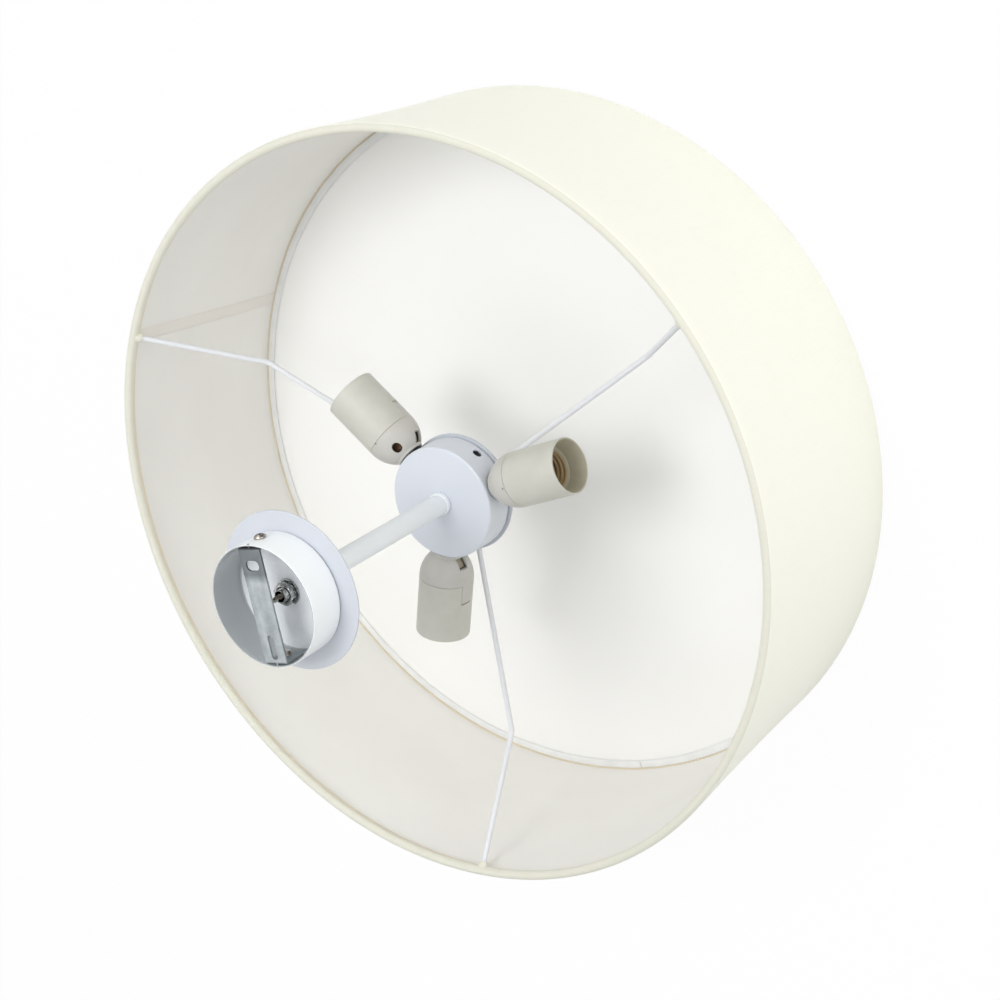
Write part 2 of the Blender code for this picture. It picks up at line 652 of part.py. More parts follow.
def dome_outline():
    """A domed cap: neck face, rounded shoulder, spigot that enters the skirt, boss round the thread."""
    width = HOLDER_RADIUS - HOLDER_NECK_RADIUS
    height = HOLDER_SEAM_AT - HOLDER_NECK_AT
    outer = []
    inner = []
    for i in range(5):
        angle = math.radians(90.0 * i / 4)
        lean = (math.sin(angle), 1 - math.cos(angle))
        outer.append((HOLDER_NECK_RADIUS + width * lean[0], HOLDER_NECK_AT + height * lean[1]))
        inner.append((HOLDER_NECK_RADIUS - HOLDER_WALL + width * lean[0],
                      HOLDER_NECK_AT + HOLDER_WALL + (height - HOLDER_WALL) * lean[1]))
    spigot = HOLDER_RADIUS - HOLDER_WALL - GAP
    tip = HOLDER_SEAM_AT + SPIGOT_LENGTH
    thin = spigot - HOLDER_WALL + GAP
    inner[-1] = (thin, HOLDER_SEAM_AT)
    boss = HOLDER_NECK_AT + HOLDER_NIPPLE_IN_DOME
    return (outer + [(spigot, HOLDER_SEAM_AT), (spigot, tip), (thin, tip)] + inner[::-1]
            + [(DOME_BOSS_RADIUS, HOLDER_NECK_AT + HOLDER_WALL), (DOME_BOSS_RADIUS, boss),
               (THREAD_HOLE, boss), (THREAD_HOLE, HOLDER_NECK_AT)])


def wedge(inner, outer, low, high, angle, centre):
    """Mesh maker: part of a thick ring about Z, angle degrees wide."""
    section = ring_outline(inner, outer, low, high)
    return swept_round(lambda i, a: section, 4, centre - angle / 2, angle)


def make_dome(number, material, axis, turn):
    dome = placed(f"holder_{number}_dome", turned(dome_outline(), HOLDER_STEPS), material, axis)
    tongue = wedge(HOLDER_RADIUS - HOLDER_WALL - GAP / 2, HOLDER_RADIUS, HOLDER_SEAM_AT - 1.5,
                   HOLDER_SEAM_AT + TONGUE_LENGTH, TONGUE_ANGLE, turn)
    combine(dome, "UNION", tongue, f"holder_{number}_tongue")
    spoke = Matrix.Rotation(math.radians(turn + RELEASE_HOLE_TURN), 3, "Z") @ Matrix.Rotation(
        math.radians(90), 3, "Y")
    lozenge = bar(RELEASE_HOLE_SIDE / math.sqrt(2), DOME_BOSS_RADIUS + 1, HOLDER_RADIUS + 2, 4, spoke,
                  (0, 0, RELEASE_HOLE_AT + HOLDER_NECK_AT / 4))
    combine(dome, "DIFFERENCE", lozenge, f"holder_{number}_release_hole")
    spoke = Matrix.Rotation(math.radians(turn + ROUND_HOLE_TURN), 3, "Z") @ Matrix.Rotation(
        math.radians(90), 3, "Y")
    drilled = bar(ROUND_HOLE_RADIUS, DOME_BOSS_RADIUS + 1, HOLDER_RADIUS + 2, 10, spoke, (0, 0, ROUND_HOLE_AT))
    combine(dome, "DIFFERENCE", drilled, f"holder_{number}_round_hole")


def skirt_section(_, angle):
    """Outer wall, recessed mouth, shoulder and a sleeve with the lamp thread on its inside."""
    wall = HOLDER_RADIUS - HOLDER_WALL
    shoulder = HOLDER_MOUTH_AT - RECESS_DEPTH
    start = shoulder - 0.8
    end = shoulder - SLEEVE_LENGTH
    middle = (E27_MAJOR + E27_MINOR) / 2
    depth = (E27_MAJOR - E27_MINOR) / 2
    thread = []
    for i in range(THREAD_SAMPLES + 1):
        along = start + (end - start) * i / THREAD_SAMPLES
        fade = min(1.0, 3.0 * i / THREAD_SAMPLES, 3.0 * (THREAD_SAMPLES - i) / THREAD_SAMPLES)
        wave = math.sin(2 * math.pi * along / E27_PITCH - angle)
        thread.append((middle + depth * fade * wave, along))
    return ([(HOLDER_RADIUS, HOLDER_SEAM_AT + GAP), (HOLDER_RADIUS, HOLDER_MOUTH_AT - 0.5),
             (HOLDER_RADIUS - 0.5, HOLDER_MOUTH_AT), (wall + 0.3, HOLDER_MOUTH_AT),
             (RECESS_RADIUS, shoulder), (ENTRY_RADIUS, shoulder)] + thread
            + [(SLEEVE_RADIUS, end), (SLEEVE_RADIUS, shoulder - HOLDER_WALL), (wall, shoulder - HOLDER_WALL),
               (wall, HOLDER_SEAM_AT + GAP)])


def make_skirt(number, material, axis, turn):
    skirt = placed(f"holder_{number}_skirt", swept_round(skirt_section, HOLDER_STEPS), material, axis)
    spare = math.degrees(GAP / HOLDER_RADIUS)
    cut = wedge(HOLDER_RADIUS - HOLDER_WALL - 1.0, HOLDER_RADIUS + 1.0, HOLDER_SEAM_AT - 1.0,
                HOLDER_SEAM_AT + TONGUE_LENGTH + GAP, TONGUE_ANGLE + 2 * spare, turn)
    combine(skirt, "DIFFERENCE", cut, f"holder_{number}_tongue_slot")


def make_carrier(number, material, axis):
    """The moulded body that carries both contacts, seated on the dome's spigot."""
    thin = HOLDER_RADIUS - 2 * HOLDER_WALL
    tip = HOLDER_SEAM_AT + SPIGOT_LENGTH + GAP
    back = HOLDER_SEAM_AT + 1.5
    inside = min(CARRIER_RADIUS, thin - GAP)
    flange = HOLDER_RADIUS - HOLDER_WALL - 2 * GAP
    outline = [(0.0, back), (inside, back), (inside, tip), (flange, tip), (flange, tip + CARRIER_FLANGE),
               (CARRIER_NOSE_RADIUS + 1.5, tip + CARRIER_FLANGE), (CARRIER_NOSE_RADIUS, CARRIER_FRONT_AT),
               (0.0, CARRIER_FRONT_AT)]
    carrier = placed(f"holder_{number}_carrier", turned(outline, HOLDER_STEPS), material, axis)
    half = CONTACT_WIDTH / 2 + GAP
    reach = CONTACT_THICKNESS / 2 + GAP
    low = CARRIER_FRONT_AT - CONTACT_SLOT_DEPTH - CENTRE_CONTACT_TRAVEL
    slots = [block((at - reach, -half, low), (at + reach, half, CARRIER_FRONT_AT + 1))
             for at in (-CENTRE_CONTACT_FOOT, SIDE_CONTACT_FOOT)]
    for at, maker in zip("ab", slots):
        combine(carrier, "DIFFERENCE", maker, f"holder_{number}_contact_slot_{at}")


def make_contacts(number, material, axis):
    """Bent brass strips: one over the middle, sprung, and one up the side of the lamp's cap."""
    half = CONTACT_WIDTH / 2
    foot = CARRIER_FRONT_AT - CONTACT_SLOT_DEPTH + GAP
    level = CARRIER_FRONT_AT + CENTRE_CONTACT_RISE - CONTACT_THICKNESS / 2
    middle = [(-CENTRE_CONTACT_FOOT, foot), (-CENTRE_CONTACT_FOOT, level - 1.4),
              (-CENTRE_CONTACT_FOOT + 1.6, level - 0.5), (-CENTRE_CONTACT_NOSE, level),
              (CENTRE_CONTACT_NOSE, level), (CENTRE_CONTACT_NOSE + 1.2, level - 0.7)]
    sprung = axis_empty(f"holder_{number}_contact_axis", parent=axis)
    placed(f"holder_{number}_centre_contact", extruded(ribbon(middle, CONTACT_THICKNESS), -half, half),
           material, sprung)
    tip = CARRIER_FRONT_AT + SIDE_CONTACT_RISE
    side = [(SIDE_CONTACT_FOOT, foot), (SIDE_CONTACT_FOOT, CARRIER_FRONT_AT + 2.0),
            (SIDE_CONTACT_FOOT - 0.8, tip - 2.0), (SIDE_CONTACT_FOOT, tip)]
    placed(f"holder_{number}_side_contact", extruded(ribbon(side, CONTACT_THICKNESS), -half, half),
           material, axis)


def make_holder(number, plastic, ceramic, brass, steel, dark):
    turn = HOLDER_TURNS[(number - 1) % len(HOLDER_TURNS)]
    arm = axis_empty(f"holder_{number}_arm", holder_azimuth(number - 1), HOLDER_LEVEL)
    axis = axis_empty(f"holder_{number}_axis", parent=arm)
    axis.matrix_local = (Matrix.Translation((HUB_RADIUS * MM, 0, 0))
                         @ Matrix.Rotation(math.radians(90), 4, "Y"))
    make_dome(number, plastic, axis, turn)
    make_skirt(number, plastic, axis, turn)
    make_carrier(number, ceramic, axis)
    make_contacts(number, brass, axis)
    nipple = ring_outline(NIPPLE_BORE, THREAD_RADIUS, -HOLDER_NIPPLE_IN_HUB,
                          HOLDER_NECK_AT + HOLDER_NIPPLE_IN_DOME - 1.0)
    placed(f"holder_{number}_nipple", turned(nipple, 12), steel, axis)
    ring = ring_outline(THREAD_HOLE, NECK_RING_RADIUS, GAP, GAP + NECK_RING)
    placed(f"holder_{number}_neck_ring", turned(ring, 16), dark, axis)
    inside = HUB_RADIUS - HUB_WALL
    corner = NUT_FLATS / 2 / math.cos(math.radians(30))
    face = math.sqrt(inside ** 2 - corner ** 2) - HUB_RADIUS - GAP
    placed(f"holder_{number}_nut", hex_nut(THREAD_HOLE, face - HOLDER_NUT_HEIGHT, face), steel, axis)


# Lead and terminal block

def make_lead(cable, plastic):
    start = Vector((0, 0, NIPPLE_TOP + GAP))
    end = Vector((BLOCK_FACE + GAP, BLOCK_SIDE + BLOCK_THICKNESS / 2, BLOCK_TOP - BLOCK_PITCH))
    points = smooth_route([start, start + Vector((0, 0, 2.2)), Vector((-0.5, 1.4, NIPPLE_TOP + 5.0)),
                           Vector((-1.8, 4.2, NIPPLE_TOP + 7.6)), end + Vector((1.9, -0.2, 0)), end], 3)
    placed("canopy_lead", tube_along(points, CABLE_RADIUS, 8), cable)
    straight = [(0, 0, NIPPLE_TOP), (0, 0, COVER_TOP + 3.0)]
    placed("stem_cable", tube_along(straight, CABLE_RADIUS, 10), cable)
    low = Vector((BLOCK_FACE - BLOCK_LENGTH, BLOCK_SIDE, BLOCK_TOP - BLOCK_POLES * BLOCK_PITCH))
    high = Vector((BLOCK_FACE, BLOCK_SIDE + BLOCK_THICKNESS, BLOCK_TOP))
    body = placed("terminal_block", block(low, high), plastic)
    quarter = Matrix.Rotation(math.radians(90), 3, "Y")
    side = BLOCK_SIDE + BLOCK_THICKNESS / 2
    for pole in range(BLOCK_POLES):
        level = BLOCK_TOP - BLOCK_PITCH * (pole + 0.5)
        wire = bar(BLOCK_WIRE_RADIUS, -BLOCK_LENGTH - 1, 1.0, 12, quarter, (BLOCK_FACE, side, level))
        combine(body, "DIFFERENCE", wire, f"terminal_wire_hole_{pole + 1}")


def smooth_route(points, per_span):
    """A smooth line through the points, per_span steps between each two."""
    padded = [2 * points[0] - points[1]] + points + [2 * points[-1] - points[-2]]
    line = []
    for a, b, c, d in zip(padded, padded[1:], padded[2:], padded[3:]):
        for i in range(per_span):
            t = i / per_span
            line.append(0.5 * (2 * b + (c - a) * t + (2 * a - 5 * b + 4 * c - d) * t * t
                               + (3 * b - a - 3 * c + d) * t * t * t))
    return line + [points[-1]]


def main():
    for thing in list(bpy.data.objects):
        bpy.data.objects.remove(thing)
    white = finish("white_powder_coat", (0.86, 0.88, 0.92), 0.35)
    hub_white = finish("white_hub_paint", (0.85, 0.86, 0.88), 0.4)
    wire_white = finish("white_wire_coat", (0.84, 0.85, 0.88), 0.4)
    zinc = finish("zinc_plate", (0.62, 0.64, 0.64), 0.35, 1.0)
    nickel = finish("nickel_plate", (0.66, 0.64, 0.62), 0.22, 1.0)
    dark = finish("dark_steel", (0.16, 0.16, 0.16), 0.45, 1.0)
    brass = finish("contact_brass", (0.72, 0.5, 0.22), 0.35, 1.0)
    plastic = finish("holder_plastic", (0.66, 0.65, 0.57), 0.55)
    ceramic = finish("contact_carrier", (0.5, 0.44, 0.36), 0.7)
    fabric = finish("shade_fabric", (0.93, 0.91, 0.82), 0.95)
    sheet = finish("diffuser_sheet", (0.93, 0.93, 0.92), 0.6)
    trim = finish("diffuser_trim", (0.85, 0.85, 0.85), 0.6)
    cable = finish("lead_sheath", (0.42, 0.4, 0.36), 0.4)
    clear = finish("terminal_plastic", (0.88, 0.88, 0.86), 0.5)

    make_bracket(zinc)
    make_cup(white)
    make_disc(white)
    make_screws(nickel)
    make_upper_nipple(zinc, zinc)
    make_lead(cable, clear)
    make_stem(white)
    make_hub(hub_white)
    make_hub_fixings(zinc, zinc)
    shade_axis = axis_empty("shade_axis", SPIDER_TURN)
    make_spider(wire_white, shade_axis)
    washer_axis = axis_empty("washer_axis")
    nut_axis = axis_empty("nut_axis")
    make_retaining_nut(zinc, brass, washer_axis, nut_axis)
    make_shade(fabric, shade_axis)
    make_rings(wire_white, shade_axis)
    diffuser_axis = axis_empty("diffuser_axis", parent=shade_axis)
    make_diffuser(sheet, trim, diffuser_axis)
    for number in range(1, HOLDERS + 1):
        make_holder(number, plastic, ceramic, brass, nickel, dark)
    bpy.context.view_layer.update()


main()
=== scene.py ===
# Looks for a semi-flush ceiling light with a fabric drum shade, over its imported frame.
# Shapes are drawn in millimetres, and become metres when a piece is finished.

import math

import bmesh
import bpy
from mathutils import Matrix, Vector


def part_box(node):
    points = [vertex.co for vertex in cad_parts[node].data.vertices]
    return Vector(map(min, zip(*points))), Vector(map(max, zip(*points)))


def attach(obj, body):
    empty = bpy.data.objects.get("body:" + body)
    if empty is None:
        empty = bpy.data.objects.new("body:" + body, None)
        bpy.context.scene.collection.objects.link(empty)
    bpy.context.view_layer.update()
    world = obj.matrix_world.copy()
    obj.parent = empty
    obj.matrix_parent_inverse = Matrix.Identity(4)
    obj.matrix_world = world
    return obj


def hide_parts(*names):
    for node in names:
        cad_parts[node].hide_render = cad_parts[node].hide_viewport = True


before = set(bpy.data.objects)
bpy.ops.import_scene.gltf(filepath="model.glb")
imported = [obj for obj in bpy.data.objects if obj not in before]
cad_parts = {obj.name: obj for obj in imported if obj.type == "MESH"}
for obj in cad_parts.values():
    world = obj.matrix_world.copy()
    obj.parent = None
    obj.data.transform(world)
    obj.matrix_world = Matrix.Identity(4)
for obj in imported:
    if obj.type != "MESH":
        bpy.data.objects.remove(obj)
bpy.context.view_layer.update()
mm = 0.001
air = 0.3                                     # between two pieces that touch
nippleHole = 5.3                              # radius of a hole that a nipple passes through

view = {
    "place": (0.3457, -0.8255, 0.8216),
    "looksAlong": (-0.2216, 0.5839, -0.7810),
    "up": (0.9536, -0.0378, -0.2988),
    "lens": 68.185,
    "shift": (0.0035, -0.0752),
}


def paint(colour):
    return (*[((c / 255 + 0.055) / 1.055) ** 2.4 for c in colour], 1.0)


# Node helpers

def newMaterial(name, colour, roughness, metallic=0.0):
    material = bpy.data.materials.new(name)
    material.use_nodes = True
    shader = material.node_tree.nodes["Principled BSDF"]
    shader.inputs["Base Color"].default_value = paint(colour)
    shader.inputs["Roughness"].default_value = roughness
    shader.inputs["Metallic"].default_value = metallic
    return material, material.node_tree, shader


def addNode(tree, kind, settings, inputs):
    node = tree.nodes.new(kind)
    for key, value in settings.items():
        setattr(node, key, value)
    for key, value in inputs.items():
        if isinstance(value, bpy.types.NodeSocket):
            tree.links.new(value, node.inputs[key])
        else:
            node.inputs[key].default_value = value
    return node


def mixColours(tree, factor, first, second):
    node = addNode(tree, "ShaderNodeMix", {"data_type": "RGBA"}, {0: factor, 6: first, 7: second})
    return node.outputs[2]


def spread(tree, value, fromLow, fromHigh, toLow, toHigh):
    node = addNode(tree, "ShaderNodeMapRange", {}, {0: value, 1: fromLow, 2: fromHigh, 3: toLow, 4: toHigh})
    return node.outputs[0]


def sums(tree, operation, first, second):
    return addNode(tree, "ShaderNodeMath", {"operation": operation}, {0: first, 1: second}).outputs[0]


def noise(tree, vector, scale, detail=3.0, roughness=0.5):
    node = addNode(tree, "ShaderNodeTexNoise", {},
                   {"Vector": vector, "Scale": scale, "Detail": detail, "Roughness": roughness})
    return node.outputs["Fac"]


def stretched(tree, vector, scale):
    node = addNode(tree, "ShaderNodeMapping", {}, {"Vector": vector, "Scale": scale})
    return node.outputs["Vector"]


def where(tree, output):
    return addNode(tree, "ShaderNodeTexCoord", {}, {}).outputs[output]


def bands(tree, vector, pitch, direction):
    node = addNode(tree, "ShaderNodeTexWave", {"bands_direction": direction},
                   {"Vector": vector, "Scale": math.pi / 10 / pitch})
    return node.outputs["Fac"]


def bump(tree, shader, height, distance, strength=1.0, under=None):
    node = addNode(tree, "ShaderNodeBump", {}, {"Height": height, "Distance": distance, "Strength": strength})
    if under:
        tree.links.new(under.outputs["Normal"], node.inputs["Normal"])
    tree.links.new(node.outputs["Normal"], shader.inputs["Normal"])
    return node


def plainWeave(tree, vector, pitch):
    warp = bands(tree, vector, pitch, "X")
    weft = bands(tree, vector, pitch, "Y")
    over = sums(tree, "MULTIPLY", warp, weft)
    under = sums(tree, "MULTIPLY", sums(tree, "SUBTRACT", 1.0, warp), sums(tree, "SUBTRACT", 1.0, weft))
    return sums(tree, "MAXIMUM", over, under)


# Finishes

def colourBy(tree, shader, value, low, high, dark, light):
    # Dark where the value is low, and light where it is high
    colour = mixColours(tree, spread(tree, value, low, high, 0.0, 1.0), paint(dark), paint(light))
    tree.links.new(colour, shader.inputs["Base Color"])


def roughBy(tree, shader, value, low, high):
    tree.links.new(spread(tree, value, 0.3, 0.7, low, high), shader.inputs["Roughness"])


clothFinish = {"pitch": 0.00055, "depth": 0.00004, "roughness": 0.93, "sheen": 0.15, "sheenRoughness": 0.6}


def shadeCloth(name, face, slub):
    material, tree, shader = newMaterial(name, face, clothFinish["roughness"])
    flat = where(tree, "UV")
    slubs = noise(tree, stretched(tree, flat, (60, 900, 1)), 1.0, 4.0, 0.6)
    ends = noise(tree, stretched(tree, flat, (900, 45, 1)), 1.0, 4.0, 0.6)
    both = sums(tree, "MULTIPLY", slubs, ends)
    colourBy(tree, shader, both, 0.12, 0.4, slub, face)
    threads = plainWeave(tree, flat, clothFinish["pitch"])
    bump(tree, shader, sums(tree, "ADD", threads, both), clothFinish["depth"], 0.7)
    shader.inputs["Sheen Weight"].default_value = clothFinish["sheen"]
    shader.inputs["Sheen Roughness"].default_value = clothFinish["sheenRoughness"]
    return material


def liningSheet(name, face, cloud):
    material, tree, shader = newMaterial(name, face, 0.62)
    flat = where(tree, "UV")
    drift = noise(tree, stretched(tree, flat, (5, 9, 1)), 1.0, 3.0, 0.55)
    colourBy(tree, shader, drift, 0.3, 0.7, cloud, face)
    bump(tree, shader, plainWeave(tree, flat, clothFinish["pitch"]), 0.00002, 0.5)
    return material


def diffuserSheet(name, face, cloud, pitch):
    material, tree, shader = newMaterial(name, face, 0.55)
    flat = where(tree, "Object")
    colourBy(tree, shader, noise(tree, flat, 7.0, 2.0, 0.5), 0.35, 0.65, cloud, face)
    bump(tree, shader, plainWeave(tree, flat, pitch), 0.00002, 0.5)
    return material


def paintedMetal(name, colour, roughness, grain=0.5, coat=(0.15, 0.25)):
    material, tree, shader = newMaterial(name, colour, roughness)
    place = where(tree, "Object")
    under = bump(tree, shader, noise(tree, place, 120.0, 2.0, 0.5), 0.00004, 0.25 * grain)
    bump(tree, shader, noise(tree, place, 900.0, 2.0, 0.5), 0.00002, 0.5 * grain, under)
    roughBy(tree, shader, noise(tree, place, 30.0, 3.0, 0.5), roughness - 0.05, roughness + 0.07)
    shader.inputs["Coat Weight"].default_value, shader.inputs["Coat Roughness"].default_value = coat
    return material


# Painted reflection and shadow: the strip darkens towards +X, a painted dark reflection, and most on the end
# that is bent down there, painted shadow in the gap by the cup
zincMottleAndPaintedShade = {
    "light": (174, 180, 182), "dark": (150, 157, 160), "end": (112, 118, 121), "cut": (72, 74, 76),
    "cloud": 95.0, "fleck": 900.0, "endFrom": 0.0158, "endTo": 0.0215, "cutFrom": 0.0380, "cutTo": 0.0386,
}


def galvanised():
    material, tree, shader = newMaterial("galvanisedStripPaintedShade", zincMottleAndPaintedShade["light"], 0.5, 0.6)
    place = where(tree, "Object")
    cloud = noise(tree, place, zincMottleAndPaintedShade["cloud"], 5.0, 0.62)
    fleck = noise(tree, place, zincMottleAndPaintedShade["fleck"], 3.0, 0.6)
    amount = sums(tree, "ADD", sums(tree, "MULTIPLY", cloud, 0.75), sums(tree, "MULTIPLY", fleck, 0.25))
    colour = mixColours(tree, spread(tree, amount, 0.38, 0.62, 0.0, 1.0), paint(zincMottleAndPaintedShade["dark"]),
                        paint(zincMottleAndPaintedShade["light"]))
    along = addNode(tree, "ShaderNodeSeparateXYZ", {}, {"Vector": place}).outputs["X"]
    # The end and cut colours are painted reflection and shadow laid over the zinc's own mottle
    for part in ("end", "cut"):
        share = spread(tree, along, zincMottleAndPaintedShade[part + "From"], zincMottleAndPaintedShade[part + "To"], 0.0, 1.0)
        colour = mixColours(tree, share, colour, paint(zincMottleAndPaintedShade[part]))
    tree.links.new(colour, shader.inputs["Base Color"])
    roughBy(tree, shader, cloud, 0.45, 0.58)
    bump(tree, shader, amount, 0.00003, 0.3)
    return material


# Dark patches by noise; on the zinc and nickel they are painted dark reflections
def platedMetal(name, light, dark, roughness, patchScale=260.0):
    material, tree, shader = newMaterial(name, light, roughness, 1.0)
    place = where(tree, "Object")
    darkPatch = noise(tree, place, patchScale, 4.0, 0.6)
    colourBy(tree, shader, darkPatch, 0.35, 0.7, dark, light)
    roughBy(tree, shader, darkPatch, roughness - 0.06, roughness + 0.1)
    bump(tree, shader, noise(tree, place, 1600.0, 2.0, 0.5), 0.00001, 0.35)
    return material


def mouldedPlastic(name, face, shade, roughness, grain):
    material, tree, shader = newMaterial(name, face, roughness)
    place = where(tree, "Object")
    colourBy(tree, shader, noise(tree, place, 60.0, 3.0, 0.5), 0.35, 0.65, shade, face)
    bump(tree, shader, noise(tree, place, 2200.0, 2.0, 0.6), 0.00002, grain)
    shader.inputs["Specular IOR Level"].default_value = 0.4
    return material


def leadSheath(name, light, dark):
    material, tree, shader = newMaterial(name, light, 0.3)
    colourBy(tree, shader, noise(tree, where(tree, "Object"), 320.0, 3.0, 0.5), 0.3, 0.7, dark, light)
    shader.inputs["Coat Weight"].default_value = 0.6
    shader.inputs["Coat Roughness"].default_value = 0.1
    return material


finishes = {
    "cloth": shadeCloth("creamShadeCloth", (254, 254, 241), (251, 250, 236)),
    # The hem cloth is a darker copy of the shade cloth, painted shade on the rolled hem
    "hem": shadeCloth("hemClothPaintedShade", (232, 231, 217), (227, 226, 211)),
    # The tan raw-edge cloth is painted shadow in the gap where the hem tucks in against the lining
    "hemGapShade": shadeCloth("hemRawEdge", (234, 222, 198), (234, 222, 198)),
    "lining": liningSheet("whiteLining", (247, 246, 241), (242, 240, 235)),
    # The seam is a darker copy of the lining, painted shade where less light comes through the double layer
    "seam": liningSheet("liningSeam", (239, 235, 228), (239, 235, 228)),
    "diffuser": diffuserSheet("diffuserSheet", (252, 252, 251), (249, 249, 247), 0.0009),
    "trim": mouldedPlastic("diffuserTrim", (238, 239, 239), (232, 233, 232), 0.5, 0.2),
    "powder": paintedMetal("whitePowderCoat", (251, 254, 255), 0.36),
    # The disc's paint is a darker, bluer copy of the cup's white, painted shade
    "discShade": paintedMetal("discPaintedShade", (206, 210, 218), 0.4),
    # The cup's inner wall is a darker grey copy of the white paint, painted shade inside the cup; its floor
    # keeps a near-white copy
    "cupInsideShade": paintedMetal("cupInsidePaintedShade", (176, 181, 183), 0.24, coat=(0.7, 0.07)),
    "stemPaint": paintedMetal("whiteStemPaint", (244, 248, 251), 0.38),
    "hubPaint": paintedMetal("whiteHubPaint", (220, 225, 233), 0.42),
    # The cover's paint is a darker copy of the hub's white, painted shade on the cover's rim
    "coverShade": paintedMetal("coverPaintedShade", (192, 197, 205), 0.42),
    "cupFloor": paintedMetal("whiteCupFloor", (240, 244, 248), 0.24, coat=(0.7, 0.07)),
    # The hub's inside is dark brown, painted shade inside the closed can
    "hubInsideShade": paintedMetal("hubInsidePaintedShade", (72, 62, 54), 0.5),
    "wire": paintedMetal("whiteWireCoat", (233, 235, 239), 0.4, 0.8),
    "zincStrip": galvanised(),
    # The zinc's and nickel's dark patches are painted dark reflections, which give the nuts, washers and
    # screw heads dark facets
    "zinc": platedMetal("zincPlate", (208, 211, 209), (112, 114, 114), 0.2, 320.0),
    "nickel": platedMetal("nickelPlate", (222, 216, 208), (96, 86, 80), 0.16, 480.0),
    "darkSteel": platedMetal("darkSteel", (92, 90, 88), (60, 58, 57), 0.4),
    "brass": platedMetal("springBrass", (206, 160, 88), (158, 108, 52), 0.3),
    "ivory": mouldedPlastic("ivoryHolderPlastic", (208, 207, 198), (203, 202, 192), 0.46, 0.35),
    "ivoryDome": mouldedPlastic("ivoryDomePlastic", (205, 203, 197), (199, 197, 190), 0.46, 0.35),
    # The latch colour is a darker tan copy of the holder's ivory, painted shade behind the release hole
    "latch": mouldedPlastic("latchPaintedShade", (178, 170, 150), (170, 162, 141), 0.5, 0.3),
    # The thread and recess colours are darker, warmer copies of the ivory: painted shade and warm bounce
    # light inside the mouth
    "ivoryThreadShade": mouldedPlastic("threadPaintedShade", (192, 172, 132), (184, 162, 122), 0.5, 0.35),
    "ivoryInsideShade": mouldedPlastic("recessPaintedShade", (192, 187, 167), (186, 180, 160), 0.5, 0.35),
    "carrier": mouldedPlastic("brownCarrier", (158, 126, 96), (134, 104, 76), 0.6, 0.3),
    "carrierBack": mouldedPlastic("brownCarrierBack", (98, 67, 40), (82, 55, 33), 0.6, 0.3),
    "lead": leadSheath("greyLeadSheath", (192, 187, 172), (170, 163, 146)),
    "brownLead": leadSheath("brownLeadSheath", (124, 109, 88), (102, 88, 70)),
    "terminal": mouldedPlastic("terminalPlastic", (226, 226, 222), (216, 216, 210), 0.35, 0.1),
}
print("finishes ready:", len(finishes))


# Mesh helpers

quarter = Matrix.Rotation(math.radians(90), 4, "Y")
upright = Matrix(((1, 0, 0, 0), (0, 0, 1, 0), (0, 1, 0, 0), (0, 0, 0, 1)))


def spoke(turn, at, place=Matrix.Identity(4)):
    # A frame whose Z points outwards from a spot on the axis, and whose X runs back along the axis
    return place @ Matrix.Rotation(math.radians(turn), 4, "Z") @ Matrix.Translation((0, 0, at)) @ quarter


def span(node):
    low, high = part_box(node)
    return low[2] / mm, high[2] / mm


def reachOf(node, axis):
    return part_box(node)[1][axis] / mm


def rect(x0, x1, y0, y1):
    return [(x0, y0), (x1, y0), (x1, y1), (x0, y1)]


def oblong(length, width):
    return rect(-length / 2, length / 2, -width / 2, width / 2)


def circle(radius, sides):
    turns = [2 * math.pi * i / sides for i in range(sides)]
    return [(radius * math.cos(a), radius * math.sin(a)) for a in turns]


def arc(centre, radius, start, end, steps):
    turns = [math.radians(start + (end - start) * i / steps) for i in range(steps + 1)]
    return [(centre[0] + radius * math.cos(a), centre[1] + radius * math.sin(a)) for a in turns]


def addVerts(bm, points, place=None):
    return [bm.verts.new(place @ p if place else p) for p in points]


def skin(bm, rows):
    # One solid over rows of equally many points, with a face on each end
    for near, far in zip(rows, rows[1:]):
        for j in range(len(near)):
            k = (j + 1) % len(near)
            bm.faces.new((near[j], near[k], far[k], far[j]))
    for row in (rows[0], rows[-1]):
        bm.faces.new(row)


def eased(outline, radius, steps=3):
    points = []
    for i, here in enumerate(outline):
        here = Vector(here)
        back = Vector(outline[i - 1]) - here
        on = Vector(outline[(i + 1) % len(outline)]) - here
        if here.x < 1e-6 or back.length < 1e-6 or on.length < 1e-6:
            points.append(tuple(here))
            continue
        reach = min(radius, 0.45 * back.length, 0.45 * on.length)
        start = here + back.normalized() * reach
        end = here + on.normalized() * reach
        for k in range(steps + 1):
            t = k / steps
            points.append(tuple(start * (1 - t) ** 2 + here * (2 * t * (1 - t)) + end * t ** 2))
    return points


